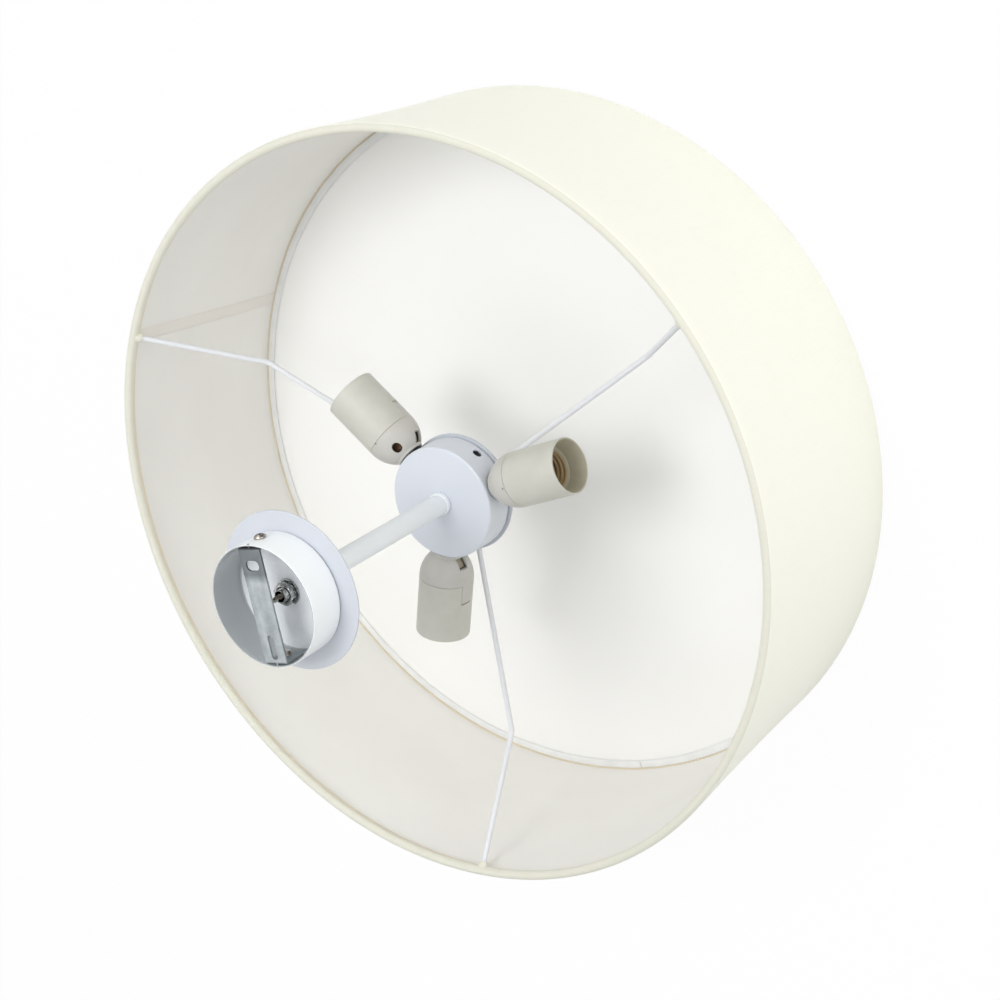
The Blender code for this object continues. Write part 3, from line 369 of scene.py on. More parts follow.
def spin(bm, outline, steps, start=0.0, sweep=360.0, place=None, number=0, numberOf=None):
    whole = sweep >= 360.0
    section = outline if callable(outline) else (lambda angle: outline)
    uv = bm.loops.layers.uv.verify()
    rings = []
    for i in range(steps if whole else steps + 1):
        angle = math.radians(start + sweep * i / steps)
        points = [Vector((r * math.cos(angle), r * math.sin(angle), z)) for r, z in section(angle)]
        rings.append(addVerts(bm, points, place))
    first = section(math.radians(start))
    reach = max(r for r, z in first)
    along = [0.0]
    for a, b in zip(first, first[1:] + first[:1]):
        along.append(along[-1] + math.dist(a, b))
    for i in range(steps):
        near, far = rings[i], rings[(i + 1) % len(rings)]
        across = [math.radians(sweep * (i + k) / steps) * reach for k in (0, 1)]
        for j in range(len(near)):
            k = (j + 1) % len(near)
            if first[j][0] < 1e-6 and first[k][0] < 1e-6:
                continue
            face = bm.faces.new((near[j], near[k], far[k], far[j]))
            face.material_index = numberOf(j) if numberOf else number
            corners = ((across[0], along[j]), (across[0], along[j + 1]),
                       (across[1], along[j + 1]), (across[1], along[j]))
            for loop, (u, v) in zip(face.loops, corners):
                loop[uv].uv = (u * mm, v * mm)
    if not whole:
        for ring in (rings[0], rings[-1]):
            bm.faces.new(ring).material_index = number


def sweep(bm, path, section, place=None):
    points = [Vector(p) for p in path]
    rings = []
    tangent = (points[1] - points[0]).normalized()
    side = tangent.orthogonal().normalized()
    for i, point in enumerate(points):
        tangent = (points[min(i + 1, len(points) - 1)] - points[max(i - 1, 0)]).normalized()
        side = (side - tangent * side.dot(tangent)).normalized()
        other = tangent.cross(side)
        rings.append(addVerts(bm, [point + side * x + other * y for x, y in section], place))
    skin(bm, rings)


def prism(bm, outline, low, high, place=None):
    skin(bm, [addVerts(bm, [Vector((x, y, level)) for x, y in outline], place) for level in (low, high)])


def shaded(mesh, sharp):
    mesh.shade_smooth()
    mesh.set_sharp_from_angle(angle=math.radians(sharp))


def addObject(name, data):
    thing = bpy.data.objects.new(name, data)
    bpy.context.scene.collection.objects.link(thing)
    return thing


def finished(name, bm, materials, sharp=32):
    bmesh.ops.remove_doubles(bm, verts=bm.verts, dist=1e-4)
    bmesh.ops.recalc_face_normals(bm, faces=bm.faces)
    bmesh.ops.scale(bm, vec=(mm, mm, mm), verts=bm.verts)
    mesh = bpy.data.meshes.new(name)
    bm.to_mesh(mesh)
    bm.free()
    for material in materials:
        mesh.materials.append(finishes[material])
    shaded(mesh, sharp)
    return addObject(name, mesh)


def frozen(thing, sharp=32):
    graph = bpy.context.evaluated_depsgraph_get()
    mesh = bpy.data.meshes.new_from_object(thing.evaluated_get(graph))
    thing.modifiers.clear()
    thing.data = mesh
    shaded(mesh, sharp)
    return thing


def carve(thing, bm, operation="DIFFERENCE"):
    tool = finished(thing.name + "Tool", bm, [])
    modifier = thing.modifiers.new("carve", "BOOLEAN")
    modifier.operation = operation
    modifier.solver = "EXACT"
    modifier.object = tool
    frozen(thing)
    bpy.data.objects.remove(tool)
    return thing


def pierce(thing, outline, low, high, place=None, operation="DIFFERENCE"):
    bm = bmesh.new()
    prism(bm, outline, low, high, place)
    return carve(thing, bm, operation)


def softened(thing, width):
    modifier = thing.modifiers.new("easedEdges", "BEVEL")
    modifier.width = width * mm
    modifier.segments = 2
    modifier.limit_method = "ANGLE"
    modifier.angle_limit = math.radians(40)
    modifier.harden_normals = False
    return frozen(thing)


def settle(thing, body, node):
    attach(thing, body)
    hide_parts(node)


def turnedPiece(name, outline, steps, material, ease=0.0, easeSteps=3, place=None):
    bm = bmesh.new()
    spin(bm, eased(outline, ease, easeSteps) if ease else outline, steps, place=place)
    return finished(name, bm, [material])


def turnedRing(name, node, inner, outer, material, ease, body, steps=96, easeSteps=3):
    # A plain ring that is as tall as its node
    line = rect(inner, outer, *span(node))
    settle(turnedPiece(name, line, steps, material, ease, easeSteps), body, node)


def newGroup(name, inputs):
    tree = bpy.data.node_groups.new(name, "GeometryNodeTree")
    sockets = {}
    for label, kind in inputs.items():
        socket = tree.interface.new_socket(name=label, in_out="INPUT", socket_type="NodeSocket" + kind)
        sockets[label] = socket.identifier
    tree.interface.new_socket(name="Geometry", in_out="OUTPUT", socket_type="NodeSocketGeometry")
    return tree, sockets, tree.nodes.new("NodeGroupInput").outputs


def handOut(tree, shape, material):
    solid = addNode(tree, "GeometryNodeRealizeInstances", {}, {"Geometry": shape.outputs[0]})
    coated = addNode(tree, "GeometryNodeSetMaterial", {},
                     {"Geometry": solid.outputs[0], "Material": material})
    tree.links.new(coated.outputs[0], tree.nodes.new("NodeGroupOutput").inputs["Geometry"])


def copiesRoundTree():
    # Count copies of a shape, spaced evenly round the axis
    inputs = {"Geometry": "Geometry", "Count": "Int", "Material": "Material"}
    tree, sockets, given = newGroup("copiesRound", inputs)
    stack = addNode(tree, "GeometryNodeMeshLine", {}, {"Count": given["Count"], "Offset": (0, 0, 0)})
    index = addNode(tree, "GeometryNodeInputIndex", {}, {})
    step = sums(tree, "DIVIDE", 2 * math.pi, given["Count"])
    angle = sums(tree, "MULTIPLY", index.outputs[0], step)
    turn = addNode(tree, "ShaderNodeCombineXYZ", {}, {"Z": angle})
    copies = addNode(tree, "GeometryNodeInstanceOnPoints", {},
                     {"Points": stack.outputs[0], "Instance": given["Geometry"], "Rotation": turn.outputs[0]})
    handOut(tree, copies, given["Material"])
    return tree, sockets


def sweptRingTree():
    # A ring of round wire at a level
    inputs = {"Ring Radius": "Float", "Wire Radius": "Float", "Level": "Float", "Steps": "Int",
              "Material": "Material"}
    tree, sockets, given = newGroup("sweptRing", inputs)
    kind = "GeometryNodeCurvePrimitiveCircle"
    ring = addNode(tree, kind, {}, {"Resolution": given["Steps"], "Radius": given["Ring Radius"]})
    wire = addNode(tree, kind, {}, {"Resolution": 16, "Radius": given["Wire Radius"]})
    tube = addNode(tree, "GeometryNodeCurveToMesh", {}, {"Curve": ring.outputs[0],
                                                         "Profile Curve": wire.outputs[0]})
    lift = addNode(tree, "ShaderNodeCombineXYZ", {}, {"Z": given["Level"]})
    placed = addNode(tree, "GeometryNodeTransform", {}, {"Geometry": tube.outputs[0],
                                                         "Translation": lift.outputs[0]})
    handOut(tree, placed, given["Material"])
    return tree, sockets


def grown(thing, group, values):
    tree, sockets = group
    modifier = thing.modifiers.new(tree.name, "NODES")
    modifier.node_group = tree
    for label, value in values.items():
        modifier[sockets[label]] = value
    return frozen(thing)


copiesRound = copiesRoundTree()
sweptRing = sweptRingTree()


def joined(name, pieces):
    # One object out of several that are already in place, each with its materials
    bm = bmesh.new()
    materials = []
    for piece in pieces:
        offset = len(materials)
        before = len(bm.faces)
        bm.from_mesh(piece.data)
        bm.faces.ensure_lookup_table()
        materials += list(piece.data.materials)
        for face in bm.faces[before:]:
            face.material_index += offset
        bpy.data.objects.remove(piece)
    mesh = bpy.data.meshes.new(name)
    bm.to_mesh(mesh)
    bm.free()
    for material in materials:
        mesh.materials.append(material)
    return addObject(name, mesh)


# Drum shade

drum = {
    "radius": 275.0, "cloth": 0.5, "lining": 0.7, "ringCircle": 271.75, "wire": 1.75,
    "firstArm": 57.4, "arms": 3, "steps": 288, "flap": 8.0, "rollTall": 1.04, "ripple": 0.14,
    "fade": 2.4, "wide": 1.5, "lobes": {1: (1.5, -55.0), 2: (3.5, 16.3), 3: (1.3, 56.5)},
}
drum["low"] = span("shade_wall")[0]
drum["topRing"] = sum(span("top_ring")) / 2
drum["bottomRing"] = sum(span("bottom_ring")) / 2


def outOfRound(angle, level):
    # The top rim has sprung out of round, and the diffuser and its ring keep the bottom round
    rise = (level - drum["bottomRing"]) / (drum["topRing"] - drum["bottomRing"])
    rise = min(1.0, max(0.0, rise)) ** drum["fade"]
    sprung = drum["wide"] + sum(size * math.cos(lobe * (angle - math.radians(turn)))
                                for lobe, (size, turn) in drum["lobes"].items())
    return rise * sprung + drum["ripple"] * (math.sin(3 * angle + 0.7) + 0.5 * math.sin(7 * angle + 2.1))


def sprung(outline):
    return lambda angle: [(r + outOfRound(angle, z), z) for r, z in outline]


def hemLine(level, way):
    # The cloth rolls over the ring, tucks in under it and ends flat against the lining
    roll = drum["radius"] - drum["cloth"] / 2 - drum["ringCircle"]
    flap = drum["radius"] - drum["cloth"] - drum["lining"] - air
    turns = [math.radians(a) for a in range(0, 211, 15)]
    over = [(drum["ringCircle"] + roll * math.cos(a), level + way * roll * drum["rollTall"] * math.sin(a))
            for a in turns]
    tuck = [(drum["ringCircle"] - 0.35 * roll, level - way * 0.95 * roll),
            (flap - 0.7, level - way * (drum["flap"] - 3.2)), (flap, level - way * drum["flap"])]
    return over + tuck


def ribbon(path, thickness):
    outer, inner = [], []
    for i, point in enumerate(path):
        before = Vector(path[max(i - 1, 0)])
        after = Vector(path[min(i + 1, len(path) - 1)])
        along = (after - before).normalized()
        normal = Vector((-along.y, along.x))
        outer.append(tuple(Vector(point) + normal * thickness / 2))
        inner.append(tuple(Vector(point) - normal * thickness / 2))
    return outer + inner[::-1]


def makeDrum():
    top = hemLine(drum["topRing"], 1)
    bottom = hemLine(drum["bottomRing"], -1)
    skin = drum["radius"] - drum["cloth"] / 2
    levels = [drum["topRing"] + (drum["bottomRing"] - drum["topRing"]) * i / 8 for i in range(1, 8)]
    path = top[::-1] + [(skin, z) for z in levels] + bottom
    outline = ribbon(path, drum["cloth"])
    count = len(path)
    # The rolled hems get the darker cloth, painted shade, and the tucked ends the tan one, painted shadow in
    # the gap by the lining
    hems = set(range(len(top) - 3)) | set(range(count - len(bottom) + 2, count))
    tucked = set(range(count - 4, count))

    def part(j):
        along = j if j < count else 2 * count - 1 - j
        if along in tucked or along == 0:
            return 2
        return 1 if along in hems else 0

    bm = bmesh.new()
    spin(bm, sprung(outline), drum["steps"], start=drum["firstArm"], numberOf=part)
    cover = finished("drumCloth", bm, ["cloth", "hem", "hemGapShade"], 50)
    settle(cover, "shade", "shade_wall")

    inner = drum["radius"] - drum["cloth"] - drum["lining"]
    levels = [drum["bottomRing"] - 1.0] + levels[::-1] + [drum["topRing"] + 1.0]
    outer = inner + drum["lining"] - 0.05
    wall = [(outer, z) for z in levels] + [(inner, z) for z in levels[::-1]]
    bm = bmesh.new()
    spin(bm, sprung(wall), drum["steps"], start=drum["firstArm"])
    settle(finished("drumLining", bm, ["lining"]), "shade", "shade_wall")
    return inner


# top and bottom are the degrees at which the seam meets the two hems
seam = {"width": 11.4, "thick": 0.28, "top": 57.9, "bottom": 60.3, "rows": 8, "inset": 0.03, "edge": 0.97,
        "clear": 0.6}


def makeSeam(inner):
    high = drum["topRing"] - drum["flap"] - seam["clear"]
    low = span("diffuser_band")[1] + seam["clear"]
    half = math.degrees(seam["width"] / 2 / inner)
    outward = [(inner - seam["inset"], k) for k in (-1, -0.5, 0, 0.5, 1)]
    inward = [(inner - seam["thick"], k) for k in (seam["edge"], 0.5, 0, -0.5, -seam["edge"])]
    bm = bmesh.new()
    rows = []
    for i in range(seam["rows"] + 1):
        t = i / seam["rows"]
        level = low + (high - low) * t
        middle = seam["bottom"] + (seam["top"] - seam["bottom"]) * t
        row = []
        for reach, k in outward + inward:
            angle = math.radians(middle + half * k)
            r = reach + outOfRound(angle, level)
            row.append(Vector((r * math.cos(angle), r * math.sin(angle), level)))
        rows.append(addVerts(bm, row))
    skin(bm, rows)
    # The seam strip takes the darker lining copy, painted shade
    settle(finished("liningSeam", bm, ["seam"], 60), "shade", "shade_wall")


def makeRings():
    for name, node in (("topRing", "top_ring"), ("bottomRing", "bottom_ring")):
        ring = grown(addObject(name, bpy.data.meshes.new(name)), sweptRing,
                     {"Ring Radius": drum["ringCircle"] * mm, "Wire Radius": drum["wire"] * mm,
                      "Level": drum[name] * mm, "Steps": drum["steps"], "Material": finishes["wire"]})
        for vertex in ring.data.vertices:
            angle = math.atan2(vertex.co.y, vertex.co.x)
            shift = outOfRound(angle, drum[name]) * mm
            vertex.co += Vector((shift * math.cos(angle), shift * math.sin(angle), 0))
        settle(ring, "shade", node)


# Spider

spider = {"wire": 2.0, "kink": 194.5, "bend": 9.0, "root": 11.0, "straight": 60.0, "plate": 17.0,
          "plateThick": 2.2, "hole": 5.4, "tab": 4.4, "tabRadius": 3.2, "tabWide": 1.15}
spider["level"] = span("spider")[0] + spider["wire"]


def armLine(shift):
    level, radius = spider["level"], spider["bend"]
    kink = Vector((spider["kink"], level))
    ring = Vector((drum["ringCircle"] + shift, drum["topRing"]))
    up = (ring - kink).normalized()
    half = math.atan2(up.y, up.x) / 2
    reach = radius * math.tan(half)
    bend = arc((kink.x - reach, kink.y + radius), radius, -90, -90 + math.degrees(2 * half), 10)
    end = ring - up * (drum["wire"] + air)
    return [(spider["root"], level), (spider["straight"], level)] + bend + [tuple(end)], up


def sleeve(bm, end, along, place):
    # The tab of cloth that wraps the arm's end where it meets the ring
    tab = spider["tab"]
    other = along.cross(Vector((0, 1, 0)))
    rings = []
    for distance, share in ((-tab, 0.8), (-tab, 0.92), (0.4 - tab, 1.0), (0.4, 1.05), (1.4, 0.9)):
        centre = end + along * distance
        spots = [centre + Vector((0, x * spider["tabWide"], 0)) + other * y
                 for x, y in circle(spider["tabRadius"] * share, 20)]
        rings.append(addVerts(bm, spots, place))
    skin(bm, rings)


def makeSpider():
    arms, tabs = bmesh.new(), bmesh.new()
    for number in range(drum["arms"]):
        turn = math.radians(drum["firstArm"] + 360.0 * number / drum["arms"])
        place = Matrix.Rotation(turn, 4, "Z")
        line, up = armLine(outOfRound(turn, drum["topRing"]))
        sweep(arms, [(x, 0.0, z) for x, z in line], circle(spider["wire"], 20), place)
        sleeve(tabs, Vector((line[-1][0], 0.0, line[-1][1])), Vector((up.x, 0.0, up.y)), place)
    half = spider["plateThick"] / 2
    ring = rect(spider["hole"], spider["plate"], spider["level"] - half, spider["level"] + half)
    plate = turnedPiece("spiderPlate", ring, 96, "wire", 0.5)
    arms = finished("spiderArms", arms, ["wire"], 50)
    settle(joined("spiderFrame", [arms, plate]), "shade", "spider")
    settle(finished("hemTabs", tabs, ["hem"], 60), "shade", "shade_wall")


# Diffuser

diffuser = {"lip": 0.9, "band": 6.0, "splitAt": 186.4, "split": 0.14, "steps": 240}


def makeDiffuser():
    low, high = span("diffuser_disc")
    levels = rect(0.0, reachOf("diffuser_disc", 1), low, high)
    sheet = turnedPiece("diffuserSheet", eased(levels, 0.35, 2), diffuser["steps"], "diffuser")
    settle(sheet, "diffuser", "diffuser_disc")
    bandLow, bandHigh = span("diffuser_band")
    edge = reachOf("diffuser_band", 1)
    inner = edge - diffuser["band"]
    lip = diffuser["lip"]
    channel = (rect(inner, edge, bandLow, bandHigh)
               + rect(inner, edge - lip, high + air, bandLow + lip))
    bm = bmesh.new()
    spin(bm, eased(channel, 0.3, 2), diffuser["steps"], start=diffuser["splitAt"] + diffuser["split"] / 2,
         sweep=360.0 - diffuser["split"])
    settle(finished("diffuserBand", bm, ["trim"], 50), "diffuser", "diffuser_band")


# Hub and stem

# cut is how far from the axis the tools that pierce the side reach
hub = {"radius": 42.0, "wall": 1.0, "corner": 1.6, "sideHole": 3.4, "sideTurn": -42.0, "sideDrop": 17.2,
       "holderDrop": 13.5, "cover": 44.2, "groove": (0.75, 0.9), "cut": (34.0, 44.0), "steps": 160}
hub["low"], hub["high"] = span("hub_can")
holderLevel = hub["high"] - hub["holderDrop"]


def pressedCan(radius, wall, corner, mouth, floor, hole, way, step=None):
    # way is 1 when the can's mouth is above its floor, and step is a groove round the mouth
    outer = arc((radius - corner, 0.0), corner, 0, -90, 6)
    inner = arc((radius - corner, 0.0), corner - wall, -90, 0, 6)
    base = floor + way * corner
    outer = [(r, base + way * z) for r, z in outer]
    inner = [(r, base + way * z) for r, z in inner]
    if step:
        deep, tall = step
        rim = [(radius - deep, mouth), (radius - deep, mouth - way * tall),
               (radius - 0.15, mouth - way * tall), (radius, mouth - way * (tall + 0.15))]
    else:
        rim = [(radius - 0.25 * (1 - math.sin(a)), mouth - way * 0.25 * (1 - math.cos(a)))
               for a in (math.radians(15 * i) for i in range(7))]
    return (rim + outer + [(hole, floor), (hole, floor + way * wall)] + inner
            + [(radius - wall, mouth - way * 0.15), (radius - wall + 0.15, mouth)])


def makeHub():
    outline = pressedCan(hub["radius"], hub["wall"], hub["corner"], hub["low"], hub["high"], nippleHole, -1,
                         hub["groove"])
    inside = next(j for j, (r, z) in enumerate(outline) if r == nippleHole)
    bm = bmesh.new()
    # The inside faces get the dark brown, painted shade in the closed can
    spin(bm, outline, hub["steps"], numberOf=lambda j: 1 if j >= inside else 0)
    can = finished("hubCan", bm, ["hubPaint", "hubInsideShade"])
    bm = bmesh.new()
    for number in range(holder["count"]):
        prism(bm, circle(nippleHole, 40), *hub["cut"], spoke(holder["first"] + 120 * number, holderLevel))
    prism(bm, circle(hub["sideHole"], 40), *hub["cut"], spoke(hub["sideTurn"], hub["high"] - hub["sideDrop"]))
    settle(carve(can, bm), "fixture", "hub_can")
    # The cover takes the darker copy of the white paint, painted shade
    turnedRing("hubCover", "hub_cover", nippleHole, hub["cover"], "coverShade", 0.6, "fixture",
               hub["steps"], 4)


stem = {"radius": 7.6, "collar": 8.6, "steps": 80}


def makeStem():
    turnedRing("stemTube", "stem_tube", nippleHole, stem["radius"], "stemPaint", 0.4, "fixture",
               stem["steps"])
    turnedRing("stemCollar", "stem_collar", nippleHole, stem["collar"], "stemPaint", 0.9, "fixture",
               stem["steps"], 4)


# Canopy

cup = {"radius": 41.7, "wall": 1.0, "corner": 2.0, "screwHole": 2.3, "screwDrop": 12.7, "cut": (38.0, 44.0),
       "disc": 55.0, "discSteps": 200, "steps": 160}
strip = {"width": 18.0, "thick": 1.5, "bend": 0.5, "crossAt": 27.5, "cross": (7.0, 11.0), "longAt": -28.0,
         "long": (17.0, 5.0), "pip": 1.2, "pipLow": -1.35, "pipHigh": -0.6, "pipStand": 0.4, "pipSpare": 0.25}


def roundSlot(length, width, at, steps=12):
    radius = min(length, width) / 2
    straight = abs(length - width) / 2
    ends = []
    for side, start in ((1, -90), (-1, 90)):
        ends += [(side * straight + x, y) for x, y in arc((0, 0), radius, start, start + 180, steps)]
    return [(at + x, y) if length > width else (at - y, x) for x, y in ends]


def makeCanopy():
    outline = pressedCan(cup["radius"], cup["wall"], cup["corner"], 0.0, span("canopy_cup")[0], nippleHole, 1)
    inside = next(j for j, (r, z) in enumerate(outline) if r == nippleHole)
    bm = bmesh.new()
    # The inner wall gets the darker copy, painted shade inside the cup, and the floor the near-white one
    spin(bm, outline, cup["steps"], numberOf=lambda j: 0 if j < inside else 2 if j < inside + 2 else 1)
    can = finished("canopyCup", bm, ["powder", "cupInsideShade", "cupFloor"])
    spare = strip["pipSpare"]
    half = strip["pip"] / 2 + spare
    bm = bmesh.new()
    for side in (0, 180):
        prism(bm, circle(cup["screwHole"], 32), *cup["cut"], spoke(side, -cup["screwDrop"]))
        prism(bm, rect(*cup["cut"], -half, half), strip["pipLow"] - spare, strip["pipHigh"] + spare,
              Matrix.Rotation(math.radians(side), 4, "Z"))
    settle(carve(can, bm), "fixture", "canopy_cup")
    # The disc takes the darker copy of the white paint, painted shade
    turnedRing("canopyDisc", "canopy_disc", nippleHole, cup["disc"], "discShade", 0.6, "fixture",
               cup["discSteps"], 4)


def makeBracket():
    inside = cup["radius"] - cup["wall"] - air / 2
    reach = math.sqrt(inside ** 2 - (strip["width"] / 2) ** 2)
    thick = strip["thick"]
    half = strip["width"] / 2
    bend = strip["bend"] + thick / 2
    middle = reach - thick / 2
    end = -cup["screwDrop"] - half
    right = arc((middle - bend, -thick / 2 - bend), bend, 0, 90, 8)
    left = arc((bend - middle, -thick / 2 - bend), bend, 90, 180, 8)
    bm = bmesh.new()
    prism(bm, ribbon([(middle, end)] + right + left + [(-middle, end)], thick), -half, half, upright)
    bracket = finished("mountingBracket", bm, ["zincStrip"])
    # Both bent ends are rounded at once, by what lies outside a half circle
    ends = arc((0.0, -cup["screwDrop"]), half + 0.5, 190, 350, 24)
    low = end - 3.0
    waste = ends + [(half + 3, ends[-1][1]), (half + 3, low), (-half - 3, low), (-half - 3, ends[0][1])]
    sideways = Matrix(((0, 0, 1, 0), (1, 0, 0, 0), (0, 1, 0, 0), (0, 0, 0, 1)))
    pierce(bracket, waste, -reach - 1, reach + 1, sideways)
    pip = strip["pip"] / 2
    for side in (1, -1):
        root, tip = reach - strip["bend"] - thick, cup["radius"] + strip["pipStand"]
        root, tip = sorted((side * root, side * tip))
        pierce(bracket, rect(root, tip, -pip, pip), strip["pipLow"], strip["pipHigh"], operation="UNION")
    for slot, at in ((strip["cross"], strip["crossAt"]), (strip["long"], strip["longAt"])):
        pierce(bracket, roundSlot(*slot, at), -thick - 1, 1.0)
    pierce(bracket, circle(cup["screwHole"], 32), -reach - 1, reach + 1, spoke(0, -cup["screwDrop"]))
    settle(softened(bracket, 0.22), "fixture", "mounting_bracket")


screw = {"shank": 2.0, "groove": 0.25, "halfPitch": 0.22, "head": 4.2, "edge": 0.55, "height": 2.6,
         "length": 7.0, "cross": (5.4, 1.25), "depth": 1.6, "twists": (54.0, 84.0)}


def makeScrews():
    head = cup["radius"] + air
    crown = head + screw["height"]
    end = head - screw["length"]
    edge = head + screw["edge"]
    dome = [(screw["head"] * math.cos(a), edge + (screw["height"] - screw["edge"]) * math.sin(a))
            for a in (math.radians(9 * i) for i in range(10))]
    thread = [(screw["shank"] - (screw["groove"] if i % 2 else 0.0), end + 0.4 + screw["halfPitch"] * i)
              for i in range(30)]
    outline = ([(0.0, end), (screw["shank"] - 0.5, end)] + thread
               + [(screw["head"] - 0.2, head), (screw["head"], head + 0.2)] + dome + [(0.0, crown)])
    for number, (side, twist) in enumerate(zip((0.0, 180.0), screw["twists"]), 1):
        place = spoke(side, -cup["screwDrop"])
        piece = turnedPiece(f"canopyScrew{number}", outline, 48, "nickel", place=place)
        for slot in (screw["cross"], screw["cross"][::-1]):
            pierce(piece, oblong(*slot), crown - screw["depth"], crown + 1,
                   place @ Matrix.Rotation(math.radians(twist), 4, "Z"))
        settle(piece, "fixture", f"canopy_screw_{number}")


# Threaded fixings

fixings = {"major": 5.0, "minor": 4.4, "pitch": 1.0, "bore": 3.9, "flats": 14.0, "nutThick": 3.0,
           "outlet": (6.0, 2.5), "outletLow": 2.7, "outletTall": 8.0}


def threadedTube(name, low, high, material, place=None, steps=48):
    count = max(4, int((high - low) / fixings["pitch"] * 6))
    middle = (fixings["major"] + fixings["minor"]) / 2
    depth = (fixings["major"] - fixings["minor"]) / 2

    def section(angle):
        outside = []
        for i in range(count + 1):
            level = low + 0.3 + (high - low - 0.6) * i / count
            fade = min(1.0, i / 4, (count - i) / 4)
            wave = math.cos(2 * math.pi * level / fixings["pitch"] - angle)
            outside.append((middle - depth * (1 - fade) + depth * fade * wave, level))
        return ([(fixings["bore"], low), (fixings["minor"] - 0.1, low)] + outside
                + [(fixings["minor"] - 0.1, high), (fixings["bore"], high)])
    bm = bmesh.new()
    spin(bm, section, steps, place=place)
    return finished(name, bm, [material], 60)


def hexNut(name, low, high, material, place=None, turn=0.0):
    flat = fixings["flats"] / 2
    wide = nippleHole + 0.35

    def section(angle):
        off = (math.degrees(angle) - turn) % 60.0 - 30.0
        reach = flat / math.cos(math.radians(off))
        drop = max(0.05, (reach - flat) * 0.62)
        inner = min(reach, flat + 0.05) - 0.05
        return [(wide, low), (inner, low), (reach, low + drop), (reach, high - drop), (inner, high),
                (wide, high), (nippleHole, high - 0.4), (nippleHole, low + 0.4)]
    bm = bmesh.new()
    spin(bm, section, 96, start=turn, place=place)
    return finished(name, bm, [material], 26)


washer = {"teeth": 9, "rim": 1.4, "twist": 14.0}


def makeFixings():
    nipple = threadedTube("upperNipple", *span("upper_nipple"), "zinc")
    settle(nipple, "fixture", "upper_nipple")
    nipple = threadedTube("lowerNipple", *span("lower_nipple"), "zinc")
    outlet = hub["low"] + fixings["outletLow"]
    reach, half = fixings["outlet"]
    pierce(nipple, rect(0, reach, -half, half), outlet, outlet + fixings["outletTall"])
    settle(nipple, "fixture", "lower_nipple")
    nuts = (("lockNut", "lock_nut", 12.0), ("hubNut", "hub_nut", 0.0), ("coverNut", "cover_nut", 20.0))
    for name, node, turn in nuts:
        settle(hexNut(name, *span(node), "zinc", turn=turn), "fixture", node)
    low, high = span("lock_washer")
    reach = reachOf("lock_washer", 0)
    root = reach - washer["rim"]
    rim = turnedPiece("washerRim", rect(root, reach, low, high), 96, "zinc", 0.2)
    twist = Matrix.Rotation(math.radians(washer["twist"]), 4, "X")
    tilt = Matrix.Translation((reach, 0, (low + high) / 2)) @ twist @ Matrix.Translation((-reach, 0, 0))
    bm = bmesh.new()
    prism(bm, [(root + 0.3, -1.7), (root + 0.3, 1.7), (5.5, 0.9), (5.5, -0.9)], -0.25, 0.25, tilt)
    teeth = grown(finished("washerTooth", bm, ["zinc"]), copiesRound,
                  {"Count": washer["teeth"], "Material": finishes["zinc"]})
    settle(joined("lockWasher", [rim, teeth]), "fixture", "lock_washer")


retainer = {"hole": 5.4, "radius": 13.0}
thumb = {"radius": 11.0, "ribs": 36, "rib": 0.55, "ribLow": 1.0, "ribHigh": 0.7}


def makeRetainers():
    turnedRing("retainingWasher", "retaining_washer", retainer["hole"], retainer["radius"], "zinc", 0.25,
               "washer")
    low, high = span("thumb_nut")
    core = thumb["radius"] - thumb["rib"]
    body = turnedPiece("thumbNutBody", rect(nippleHole, core, low, high), 96, "brass", 0.9)
    half = math.pi * core / thumb["ribs"] * 0.72
    tip = core + thumb["rib"]
    rib = [(core - 0.3, -half), (tip, -half * 0.35), (tip, half * 0.35), (core - 0.3, half)]
    bm = bmesh.new()
    prism(bm, rib, low + thumb["ribLow"], high - thumb["ribHigh"])
    ribs = grown(finished("thumbNutRib", bm, ["brass"]), copiesRound,
                 {"Count": thumb["ribs"], "Material": finishes["brass"]})
    settle(joined("thumbNut", [body, ribs]), "thumb_nut", "thumb_nut")


# Lampholders

# Levels run out from the hub, and turns start at the side that faces down.
# Each cut runs between two distances from the holder's axis.
holder = {
    "first": 41.1, "count": 3, "radius": 20.1, "wall": 1.5, "steps": 120,
    "neck": 9.4, "neckAt": 2.2, "seam": 22.3, "mouth": 67.2, "fullness": 1.4, "spigot": 5.2,
    "collar": (9.0, 10.9, 1.3), "ring": (9.7, 1.6), "boss": 7.4, "bossLength": 9.5,
    "tongueTurns": (292.0, 96.0, 312.0), "tongueAngle": 27.0, "tongueLength": 14.5, "tongueGap": 0.9,
    "release": (6.8, 8.0), "releaseAt": 6.8, "releaseTurns": (285.5, 99.0, 310.0), "releaseCut": (8.0, 24.0),
    "latch": {"angle": 44.0, "deep": 4.0, "thick": 0.7, "levels": (3.2, 4.2, 5.2, 6.5, 8.0, 9.3, 10.6)},
    "round": 3.6, "roundPlaces": ((206.0, 8.8), (7.0, 8.8), (240.7, 10.8)), "roundCut": (8.4, 24.0),
    "mark": 0.8, "markPlaces": {1: (180.1, 21.6), 3: (180.6, 20.7)}, "markCut": (18.7, 22.0),
    "recess": 13.2, "recessRadius": 16.5, "sleeve": 16.0, "sleeveLength": 11.3, "entry": (13.6, 15.2, 0.9),
    "notched": 3, "notch": (75.0, 59.0, 3.0, 1.5), "notchCut": (15.5, 18.4),
    "major": 13.4, "minor": 12.3, "pitch": 3.62,
}


def holderPlace(number):
    azimuth = math.radians(holder["first"] + 120.0 * (number - 1))
    return (Matrix.Rotation(azimuth, 4, "Z") @ Matrix.Translation((hub["radius"], 0, holderLevel)) @ quarter)


def domeReach(a):
    # The dome's radius, where a runs from 0 at the neck to a right angle at the seam
    return holder["neck"] + (holder["radius"] - holder["neck"]) * math.sin(a) ** holder["fullness"]


